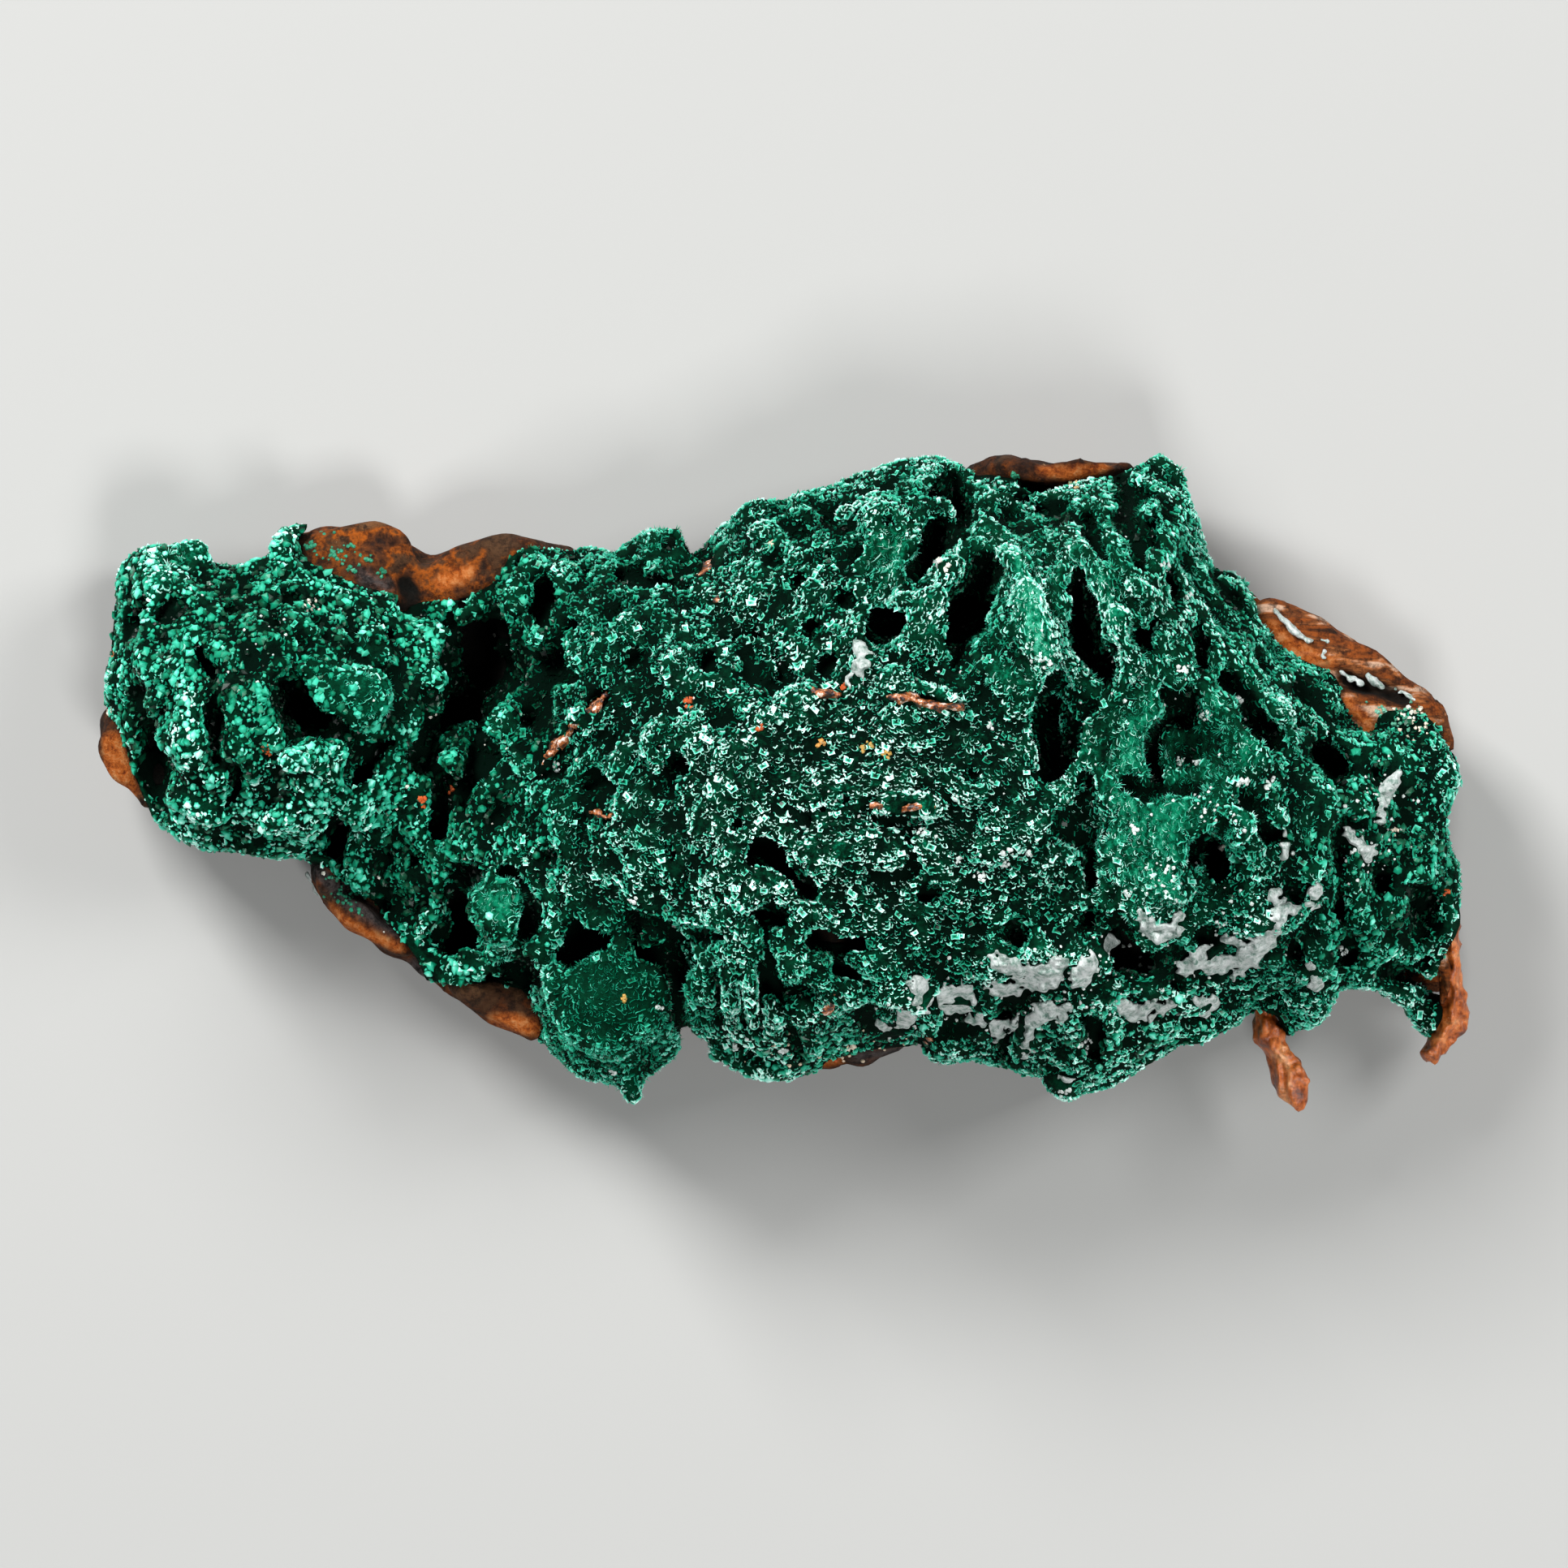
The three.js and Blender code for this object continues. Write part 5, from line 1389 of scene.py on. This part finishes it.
# %% Where the specks are, in mm
# x, y, reach, how warm: 0 is white, 1 is orange, below 0 is green
SPECKS = (
    (11.5, 15.6, 0.5, 0.1), (27.7, 15.5, 0.5, 0), (28.7, 8.3, 0.45, 0), (29.3, 13.4, 0.3, 0),
    (18.8, 8.5, 0.5, 0), (9.9, -3.5, 0.3, 0), (12.4, -1.1, 0.25, 0), (12.6, -5.6, 0.25, 0),
    (16.2, -5.1, 0.5, 0), (16.0, -5.9, 0.25, 0), (17.7, -5.1, 0.25, 0), (14.0, -6.7, 0.5, 0),
    (25.2, -3.3, 0.4, 0), (24.8, -7.9, 0.3, 0), (14.9, 4.0, 0.25, 0), (30.5, 4.8, 0.4, 0),
    (28.5, 1.5, 0.45, 0), (29.8, 1.5, 0.25, 0), (33.1, 0.0, 0.5, 0), (34.9, -0.1, 0.4, 0),
    (32.8, 5.9, 0.25, 0), (-16.4, 1.2, 0.35, 0), (-10.9, -8.5, 0.35, 0), (-9.0, -16.3, 0.25, 0),
    (-12.5, -21.0, 0.25, 0), (-3.6, -19.2, 0.25, 0), (-0.1, -19.5, 0.3, 0), (-5.8, -18.7, 0.25, 0),
    (-2.6, -18.8, 0.25, 0), (5.1, -19.3, 0.5, 0.2), (44.3, -3.6, 0.3, 0.2), (-34.2, 12.8, 0.6, 0.15),
    (31.9, -4.8, 0.3, 0.1), (40.6, -12.2, 0.35, 0), (21.8, -19.0, 0.6, 0), (20.4, -22.5, 0.4, 0),
    (-37.4, 2.4, 0.5, 1), (-26.1, -1.4, 0.4, 1), (-24.2, -0.5, 0.3, 1), (-6.8, 5.7, 0.4, 1),
    (-1.7, 3.9, 0.25, 1), (4.2, 6.9, 0.25, 1), (-11.6, -15.6, 0.2, 0.6), (2.8, 2.8, 0.35, 0.7),
    (6.0, 2.5, 0.5, 0.6), (7.4, 1.9, 0.3, 0.6), (3.7, -20.0, 0.35, 1), (48.2, -8.0, 0.3, 1),
    (21.0, 21.5, 0.4, 0.5), (-49.0, 5.1, 0.25, 0.2), (-48.8, 9.2, 0.3, 0.9), (-34.5, 17.2, 0.4, -0.25),
    (-31.4, 15.4, 0.35, -0.25), (-30.2, 16.3, 0.3, -0.25), (-29.4, 15.3, 0.35, -0.25),
    (-32.9, 16.6, 0.3, -0.25), (-33.6, 18.0, 0.3, -0.25), (17.0, 22.4, 0.3, -0.25), (-0.9, 17.2, 0.25, 0.3),
    (43.5, 5.1, 0.4, -0.1), (45.6, 5.0, 0.5, 0.1),
)
print("places with a few crumbs:", len(SPECKS))

# %% Where crumbs lie more thinly, in mm
# x, y, reach along x, reach along y, number of crumbs, how warm
DUSTINGS = (
    (31.0, -2.0, 2.5, 2.0, 26, 0), (24.0, -14.5, 4.0, 3.0, 60, 0), (33.0, -11.0, 4.0, 3.0, 50, 0),
    (17.0, -15.5, 5.0, 3.5, 60, 0), (43.0, -3.0, 3.0, 5.0, 60, 0), (45.6, 4.4, 1.4, 1.4, 22, 0.2),
    (-31.8, -7.9, 2.0, 1.6, 50, -0.25), (-32.0, 16.8, 2.5, 1.0, 30, -0.25), (44.8, 4.6, 1.8, 1.4, 24, -0.2),
    (27.5, -7.0, 2.0, 1.5, 30, 0), (8.5, -17.0, 2.5, 2.0, 24, 0), (-40.0, 10.0, 5.0, 6.0, 18, 0),
    (20.0, 4.0, 16.0, 14.0, 50, 0), (-24.0, 0.0, 16.0, 12.0, 24, 0.1), (3.0, -19.5, 6.0, 1.5, 30, 0.3),
)
print("dustings:", len(DUSTINGS), "with", sum(row[4] for row in DUSTINGS), "crumbs")

# %% A point for each crumb
rng = np.random.default_rng(101)
crumbs = []
for x, y, reach, warm in SPECKS:
    for _ in range(int(4 + 26 * reach * reach)):
        away, turn = reach * math.sqrt(rng.random()), 2 * math.pi * rng.random()
        crumbs.append((x + away * math.cos(turn), y + away * math.sin(turn), rng.uniform(0.22, 0.5), warm))
for x, y, along, across, count, warm in DUSTINGS:
    for _ in range(count):
        crumbs.append((rng.normal(x, along / 2), rng.normal(y, across / 2), rng.uniform(0.16, 0.42), warm))
crumbs = np.array(crumbs)
LEAST = 3  # mm over the floor; a crumb that would lie lower has missed the stone
level = look_up(np.maximum(crown, crown_of(stone_rough)), crumbs)
crumbs = crumbs[level > LEAST]
level = level[level > LEAST]
bed = bpy.data.meshes.new("speck_points")
bed.from_pydata((np.column_stack([crumbs[:, :2], level + 0.02]) * MM).tolist(), [], [])
specks_bed = bpy.data.objects.new("speck_points", bed)
keep(specks_bed, "size", crumbs[:, 2])
keep(specks_bed, "warm", crumbs[:, 3])
print("crumbs:", len(crumbs))

# %% A tree that puts a bead on each point
def crumb_tree(shapes, finish):
    """Puts one of the shapes on each point, turned at random and as large as the point's own size."""
    tree = new_tree("Crumbs", {"Growth": 1.0})
    start = tree.nodes.new("NodeGroupInput").outputs
    points = add(tree, "GeometryNodeMeshToPoints", {"Mesh": start["Surface"]})
    pool, which = pick(tree, shapes)
    spin = add(tree, "FunctionNodeRandomValue", {0: (-0.7, -0.7, 0.0), 1: (0.7, 0.7, 6.3), 8: 3},
               data_type="FLOAT_VECTOR").outputs[0]
    size = maths(tree, "MULTIPLY", stored(tree, "size"), start["Growth"])
    grown = add(tree, "GeometryNodeInstanceOnPoints",
                {"Points": points.outputs[0], "Instance": pool, "Pick Instance": True,
                 "Instance Index": which, "Rotation": spin, "Scale": size})
    end_tree(tree, grown.outputs[0], finish)
    return tree


print("beads to choose from:", [made.name for made in beads])

# %% [markdown]
# ## Finishes
#
# A finish could be a picture wrapped round the stone, but a picture of a rough crust stretches and blurs at
# every steep wall. Here all colour comes from noise in the space of the piece and from the numbers stored
# on its corners, so it has no seams, and detail stays sharp close up.

# %% Tools for finishes
def finish(name):
    """A new material, its tree and its shader."""
    made = bpy.data.materials.new(name)
    made.use_nodes = True
    return made, made.node_tree, made.node_tree.nodes["Principled BSDF"]


def linear(red, green, blue):
    """A screen colour from 0 to 255, as the linear colour a shader works with."""
    shares = [c / 255 for c in (red, green, blue)]
    return tuple(((s + 0.055) / 1.055) ** 2.4 if s > 0.04 else s / 12.92 for s in shares) + (1,)


def ramp(tree, value, *stops):
    """A colour that runs through stops: each is a place from 0 to 1 and a screen colour."""
    made = add(tree, "ShaderNodeValToRGB", {0: value})
    band = made.color_ramp.elements
    while len(band) < len(stops):
        band.new(0.5)
    for element, (place, colour) in zip(band, stops):
        element.position = place
        element.color = linear(*colour)
    return made.outputs[0]


def number(tree, name):
    """A number stored on the piece's corners."""
    return add(tree, "ShaderNodeAttribute", attribute_name=name).outputs["Fac"]


def speckle(tree, scale, detail=4.0, rough=0.6):
    """Noise on the piece's own coordinates; the scale is in features per metre."""
    place = add(tree, "ShaderNodeTexCoord").outputs["Object"]
    values = {"Vector": place, "Scale": scale, "Detail": detail, "Roughness": rough}
    return add(tree, "ShaderNodeTexNoise", values).outputs[0]


def mixed(tree, factor, a, b, blend="MIX"):
    """A colour between two colours, or one laid over the other."""
    made = add(tree, "ShaderNodeMix", {0: factor, 6: a, 7: b}, data_type="RGBA", blend_type=blend)
    return made.outputs[2]


def bump(tree, shader, height, strength, distance):
    """Fine relief from a height; the distance is in metres."""
    made = add(tree, "ShaderNodeBump", {"Height": height, "Strength": strength, "Distance": distance})
    tree.links.new(made.outputs[0], shader.inputs["Normal"])


def steeper(tree, value, middle, slope, lift=0.0):
    """A number pulled away from its middle, then lifted."""
    return maths(tree, "MULTIPLY_ADD", maths(tree, "SUBTRACT", value, middle), slope, lift)


def dress_shader(tree, shader, colour, roughness, gloss=0.5):
    """Gives a shader its colour, its roughness, and how much of the light it mirrors."""
    tree.links.new(colour, shader.inputs["Base Color"])
    shader.inputs["Roughness"].default_value = roughness
    shader.inputs["Specular IOR Level"].default_value = gloss


print("a screen grey of 128 is", round(linear(128, 128, 128)[0], 3), "in a shader")

# %% [markdown]
# ## Finishes of the malachite
#
# Malachite's needles are deep green in their depths and pale mint at the tips, partly their own paler
# tone where a bundle of fine needles scatters light, and partly light that catches the tips. A plain green
# with subsurface scattering would turn milky and slow. So the rosettes take their colour from their lift:
# dark at the roots as painted shade, pale at the tips as a painted highlight and sheen, with a tint that
# differs from one to the next. The skin between them is darker, partly as painted shade of the gaps, and
# rough. Velvet has silky swirls, where very fine fibres lie in sheaves.

# %% The rosettes' finish
rosette_finish, tree, shader = finish("malachite rosettes")
tinted = maths(tree, "MULTIPLY_ADD", number(tree, "tint"), 0.8, -0.36)
# Painted light: pale tips as a highlight and sheen, dark roots as shade, partly their own paler tone.
bright = maths(tree, "MULTIPLY_ADD", number(tree, "lift"), 1.0, tinted)
# Painted light and shade of the regions, with the druse's own tone.
bright = maths(tree, "MULTIPLY", bright, maths(tree, "MULTIPLY_ADD", number(tree, "painted_light_and_tone"), 0.8, 0.36))
# Painted shade in hollows, creases and holes.
bright = maths(tree, "SUBTRACT", bright, maths(tree, "MULTIPLY", number(tree, "hollow"), 0.32))
colour = ramp(tree, bright, (0.0, (0, 22, 12)), (0.2, (0, 72, 46)), (0.42, (14, 138, 104)),
              (0.66, (62, 190, 158)), (0.86, (138, 228, 206)), (1.0, (210, 252, 240)))
dress_shader(tree, shader, colour, 0.35, gloss=0.2)
print("finish:", rosette_finish.name, "with", len(tree.nodes), "nodes")

# %% The skin's finish
skin_finish, tree, shader = finish("malachite skin")
fibres = speckle(tree, 1900, 5.0, 0.7)
place = add(tree, "ShaderNodeTexCoord").outputs["Object"]
swirls = add(tree, "ShaderNodeTexWave", {"Vector": place, "Scale": 420.0, "Distortion": 9.0, "Detail": 4.0,
                                         "Detail Scale": 1.6, "Detail Roughness": 0.7}).outputs["Fac"]
silky = maths(tree, "MULTIPLY_ADD", swirls, 0.32, 0.37)
bright = steeper(tree, fibres, 0.5, 1.6, 0.08)
bright = maths(tree, "MULTIPLY_ADD", number(tree, "velvet"), silky, bright)
# Painted light and shade of the regions, with the druse's own tone.
bright = maths(tree, "MULTIPLY", bright, maths(tree, "MULTIPLY_ADD", number(tree, "painted_light_and_tone"), 0.9, 0.2))
# Painted shade in hollows, creases and holes.
bright = maths(tree, "SUBTRACT", bright, maths(tree, "MULTIPLY", number(tree, "hollow"), 0.3))
# The skin's dark greens are partly painted shade of the gaps between rosettes.
colour = ramp(tree, bright, (0.0, (0, 14, 7)), (0.35, (0, 48, 29)), (0.62, (6, 110, 78)),
              (1.0, (88, 200, 166)))
dress_shader(tree, shader, colour, 0.9, gloss=0.04)
bump(tree, shader, fibres, 0.9, 0.0003)
for piece in (west, east):
    piece.data.materials.append(skin_finish)
print("finish:", skin_finish.name, "with", len(tree.nodes), "nodes")

# %% [markdown]
# ## Finishes of the barite
#
# The barite is pale by nature. Iron has stained it from apricot on fresh breaks through orange to almost
# black, in blotches on the humps and in bands along the curved plate on the right. Several ramps over noise
# of different sizes are mixed, and each mask says where one of them shows: stored regions, hollow places,
# worn edges, and the walls of the holes and cracks, which are painted nearly black as shade.

# %% The imported blades' finish
stone_finish, tree, shader = finish("iron-stained barite")
broad = speckle(tree, 300, 4.0, 0.6)
fine = speckle(tree, 1300, 6.0, 0.75)
patchy = ramp(tree, speckle(tree, 150, 6.0, 0.7), (0.43, (0, 0, 0)), (0.51, (255, 255, 255)))
mottled = ramp(tree, broad, (0.36, (44, 26, 18)), (0.44, (98, 52, 20)), (0.5, (164, 82, 14)),
               (0.56, (112, 66, 30)), (0.66, (160, 112, 70)))
mottled = mixed(tree, maths(tree, "MULTIPLY", patchy, 0.8), mottled, linear(38, 24, 16))
place = add(tree, "ShaderNodeTexCoord").outputs["Object"]
along = add(tree, "ShaderNodeMapping",
            {"Vector": place, "Rotation": (0, 0, 0.68), "Scale": (0.22, 1.6, 1.0)}).outputs[0]
bands = add(tree, "ShaderNodeTexNoise", {"Vector": along, "Scale": 700.0, "Detail": 4.0}).outputs[0]
streaked = ramp(tree, bands, (0.3, (54, 30, 14)), (0.42, (148, 74, 24)), (0.5, (98, 54, 26)),
                (0.56, (174, 102, 52)), (0.64, (214, 174, 146)))
stained = mixed(tree, number(tree, "banded"), mottled, streaked)
print("finish:", stone_finish.name, "with", len(tree.nodes), "nodes so far")

# %% Its grain, worn edges, fresh breaks, and painted shade in holes and cracks
dark = ramp(tree, fine, (0.4, (40, 26, 20)), (0.54, (255, 255, 255)))
colour = mixed(tree, 0.75, stained, dark, "MULTIPLY")
edge = steeper(tree, number(tree, "hollow"), -0.6, -1.6)
edge = maths(tree, "MULTIPLY", edge, ramp(tree, fine, (0.46, (10, 10, 10)), (0.62, (255, 255, 255))))
colour = mixed(tree, maths(tree, "MULTIPLY", edge, 0.6), colour, linear(150, 90, 44))
pale = ramp(tree, fine, (0.66, (0, 0, 0)), (0.72, (255, 255, 255)))
colour = mixed(tree, pale, colour, linear(150, 116, 84))
fresh = ramp(tree, fine, (0.36, (112, 46, 12)), (0.5, (186, 96, 32)), (0.64, (208, 140, 84)))
colour = mixed(tree, maths(tree, "MULTIPLY", number(tree, "apricot"), 0.85), colour, fresh)
stain = ramp(tree, fine, (0.38, (24, 20, 20)), (0.6, (84, 76, 74)))
colour = mixed(tree, number(tree, "grey"), colour, stain)
# Painted shade: the walls of the holes and cracks go nearly black.
colour = mixed(tree, maths(tree, "MULTIPLY", number(tree, "sunk"), 0.97), colour, linear(6, 8, 5))
dress_shader(tree, shader, colour, 0.75, gloss=0.15)
bump(tree, shader, fine, 1.0, 0.0006)
matrix.data.materials.append(stone_finish)
print("finish:", stone_finish.name, "with", len(tree.nodes), "nodes")

# %% The bare crests' finish
crest_finish, tree, shader = finish("weathered barite crests")
grains = speckle(tree, 1500, 4.0, 0.7)
colour = ramp(tree, grains, (0.38, (24, 16, 18)), (0.45, (66, 38, 30)), (0.5, (144, 72, 22)),
              (0.56, (180, 112, 66)), (0.61, (232, 214, 204)))
dress_shader(tree, shader, colour, 0.4)
bump(tree, shader, grains, 0.6, 0.0002)
crests.data.materials.append(crest_finish)
print("finish:", crest_finish.name, "with", len(tree.nodes), "nodes")

# %% The standing blades' finish
blade_finish, tree, shader = finish("bare barite blades")
broad = speckle(tree, 420, 5.0, 0.7)
fine = speckle(tree, 2600, 5.0, 0.7)
colour = ramp(tree, broad, (0.32, (60, 26, 10)), (0.43, (146, 68, 22)), (0.54, (200, 108, 48)),
              (0.7, (226, 166, 112)))
grain = ramp(tree, fine, (0.35, (80, 58, 44)), (0.55, (255, 255, 255)))
colour = mixed(tree, 0.6, colour, grain, "MULTIPLY")
# Painted glints: pale specks where the blades catch the light.
painted_glints = ramp(tree, fine, (0.64, (0, 0, 0)), (0.72, (255, 255, 255)))
colour = mixed(tree, painted_glints, colour, linear(238, 214, 190))
dress_shader(tree, shader, colour, 0.3)
bump(tree, shader, fine, 0.4, 0.0002)
blades.data.materials.append(blade_finish)
print("finish:", blade_finish.name, "with", len(tree.nodes), "nodes")

# %% [markdown]
# ## Finishes of the chalk and the crumbs
#
# Chalk is dry, bright and quite rough, with green showing where it is thinnest. The crumbs share one finish
# for all their kinds: the number stored on each runs through a ramp from green over white and cream to
# orange. One material for each kind would do as well, but would need a mesh for each.

# %% The crusts' finish
chalk_finish, tree, shader = finish("chalky crust")
fine = speckle(tree, 1500, 6.0, 0.75)
colour = ramp(tree, fine, (0.32, (70, 120, 102)), (0.42, (146, 170, 160)), (0.52, (212, 221, 217)),
              (0.7, (244, 248, 246)))
dress_shader(tree, shader, colour, 0.85)
bump(tree, shader, fine, 1.0, 0.0005)
# This mesh holds the pale streaks too, whose white is partly painted highlight.
crusts.data.materials.append(chalk_finish)
print("finish:", chalk_finish.name, "with", len(tree.nodes), "nodes")

# %% The crumbs' finish
crumb_finish, tree, shader = finish("crumbs")
warm = maths(tree, "MULTIPLY_ADD", number(tree, "warm"), 0.8, 0.2)
colour = ramp(tree, warm, (0.0, (26, 132, 98)), (0.12, (120, 196, 170)), (0.2, (222, 232, 228)),
              (0.4, (232, 214, 188)), (0.68, (196, 150, 70)), (1.0, (196, 84, 24)))
grain = ramp(tree, speckle(tree, 2500, 4.0), (0.35, (120, 120, 110)), (0.6, (255, 255, 255)))
colour = mixed(tree, 0.6, colour, grain, "MULTIPLY")
dress_shader(tree, shader, colour, 0.6)
print("finish:", crumb_finish.name, "with", len(tree.nodes), "nodes")

# %% [markdown]
# ## Growing the rosettes
#
# Now everything is ready to grow: granular rosettes over most of the druse, threads on the velvet, rounded
# blobs mostly at the left end, and the crumbs. One run over the whole druse would be simplest. But a piece
# over 200,000 triangles would be thinned when it is saved, so the granular ones grow in eight strips along
# x, each a piece of its own.

# %% Grow the rosettes, strip by strip
# Carrier, and from where to where along x in mm
STRIPS = ((west, -52, -36), (west, -36, -20), (west, -20, -8), (west, -8, 2), (east, 2, 12), (east, 12, 22),
          (east, 22, 34), (east, 34, 52))
granular_tree = scatter_tree(granular, rosette_finish, "granules")
grown = []
for n, (carrier, start, stop) in enumerate(STRIPS):
    rosettes = grow(f"rosettes_{n + 1}", carrier, granular_tree, From=start * MM, To=stop * MM, Seed=60 + n)
    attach(rosettes, "root")
    grown.append(rosettes)
    print(rosettes.name, "triangles:", triangles_of(rosettes))

# %% Grow the threads of the velvet and the rounded blobs
blob_tree = scatter_tree(blobs, rosette_finish, "blobs")
fibrous_tree = scatter_tree(fibrous, rosette_finish, "threads")
for n, (carrier, start, stop) in enumerate(((west, -52, 2), (east, 2, 52))):
    fibres = grow(f"velvet_{n + 1}", carrier, fibrous_tree, From=start * MM, To=stop * MM, Spacing=0.26 * MM,
                  Smallest=0.35, Largest=0.85, Seed=70 + n, **{"Bare share": 0.36})
    lumps = grow(f"blobs_{n + 1}", carrier, blob_tree, From=start * MM, To=stop * MM, Spacing=0.3 * MM,
                 Smallest=0.3, Largest=0.9, Seed=80 + n, **{"Bare share": 0.4})
    for made in (fibres, lumps):
        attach(made, "root")
        grown.append(made)
        print(made.name, "triangles:", triangles_of(made))

# %% Put a bead on each crumb's point, and count it all
specks = grow("specks", specks_bed, crumb_tree(beads, crumb_finish))
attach(specks, "root")
for made in granular + blobs + fibrous + beads + [specks_bed]:
    bpy.data.objects.remove(made)
pieces = (west, east, matrix, blades, crests, crusts, specks)
for piece in pieces:
    print(piece.name, "triangles:", triangles_of(piece))
print("triangles in all:", sum(triangles_of(piece) for piece in (*pieces, *grown)))

# %% [markdown]
# ## Floor, light and camera
#
# The stone lies on a plain pale table. A large soft lamp from the upper left and two weaker ones from the
# right and the front leave the holes dark. One flat light from the camera would show every rosette but no
# depth. The camera looks straight down, from far away with a long lens, so that the sides hardly show.

# %% The table
floor_finish, tree, shader = finish("pale table")
shader.inputs["Base Color"].default_value = (0.36, 0.36, 0.35, 1)
shader.inputs["Roughness"].default_value = 0.9
HALF = 900.0  # mm, half the table's side
corners = np.array([(-HALF, -HALF, 0), (HALF, -HALF, 0), (HALF, HALF, 0), (-HALF, HALF, 0)])
floor = make_mesh("table", corners, np.array([[0, 1, 2, 3]]), smooth=False)
floor.data.materials.append(floor_finish)
print("the table is", 2 * HALF * MM, "m wide")

# %% The lamps and the world
def lamp(name, place, size, power):
    """A square lamp that shines on the middle of the stone."""
    light = bpy.data.lights.new(name, "AREA")
    light.size = size
    light.energy = power
    made = bpy.data.objects.new(name, light)
    made.location = place
    made.rotation_euler = (Vector((0, 0, 0.01)) - Vector(place)).to_track_quat("-Z", "Y").to_euler()
    bpy.context.scene.collection.objects.link(made)


lamp("key", (-0.36, 0.45, 0.50), 0.26, 8.5)
lamp("second", (0.50, 0.25, 0.55), 0.30, 4.0)
lamp("front", (0.12, -0.42, 0.75), 0.24, 4.5)
world = bpy.data.worlds.new("studio")
world.use_nodes = True
background = world.node_tree.nodes["Background"]
background.inputs["Color"].default_value = (0.9, 0.95, 1.0, 1)
background.inputs["Strength"].default_value = 0.14
bpy.context.scene.world = world
bpy.context.scene.view_settings.view_transform = "Standard"
print("lamps:", [light.name for light in bpy.data.lights])

# %% The camera
camera = bpy.data.cameras.new("camera")
camera.sensor_width = 36
camera.lens = 470
camera.clip_end = 10
eye = bpy.data.objects.new("camera", camera)
eye.location = (0.00003, -0.00012, 1.5)
bpy.context.scene.collection.objects.link(eye)
bpy.context.scene.camera = eye
print("the camera is", eye.location.z, "m over the table")
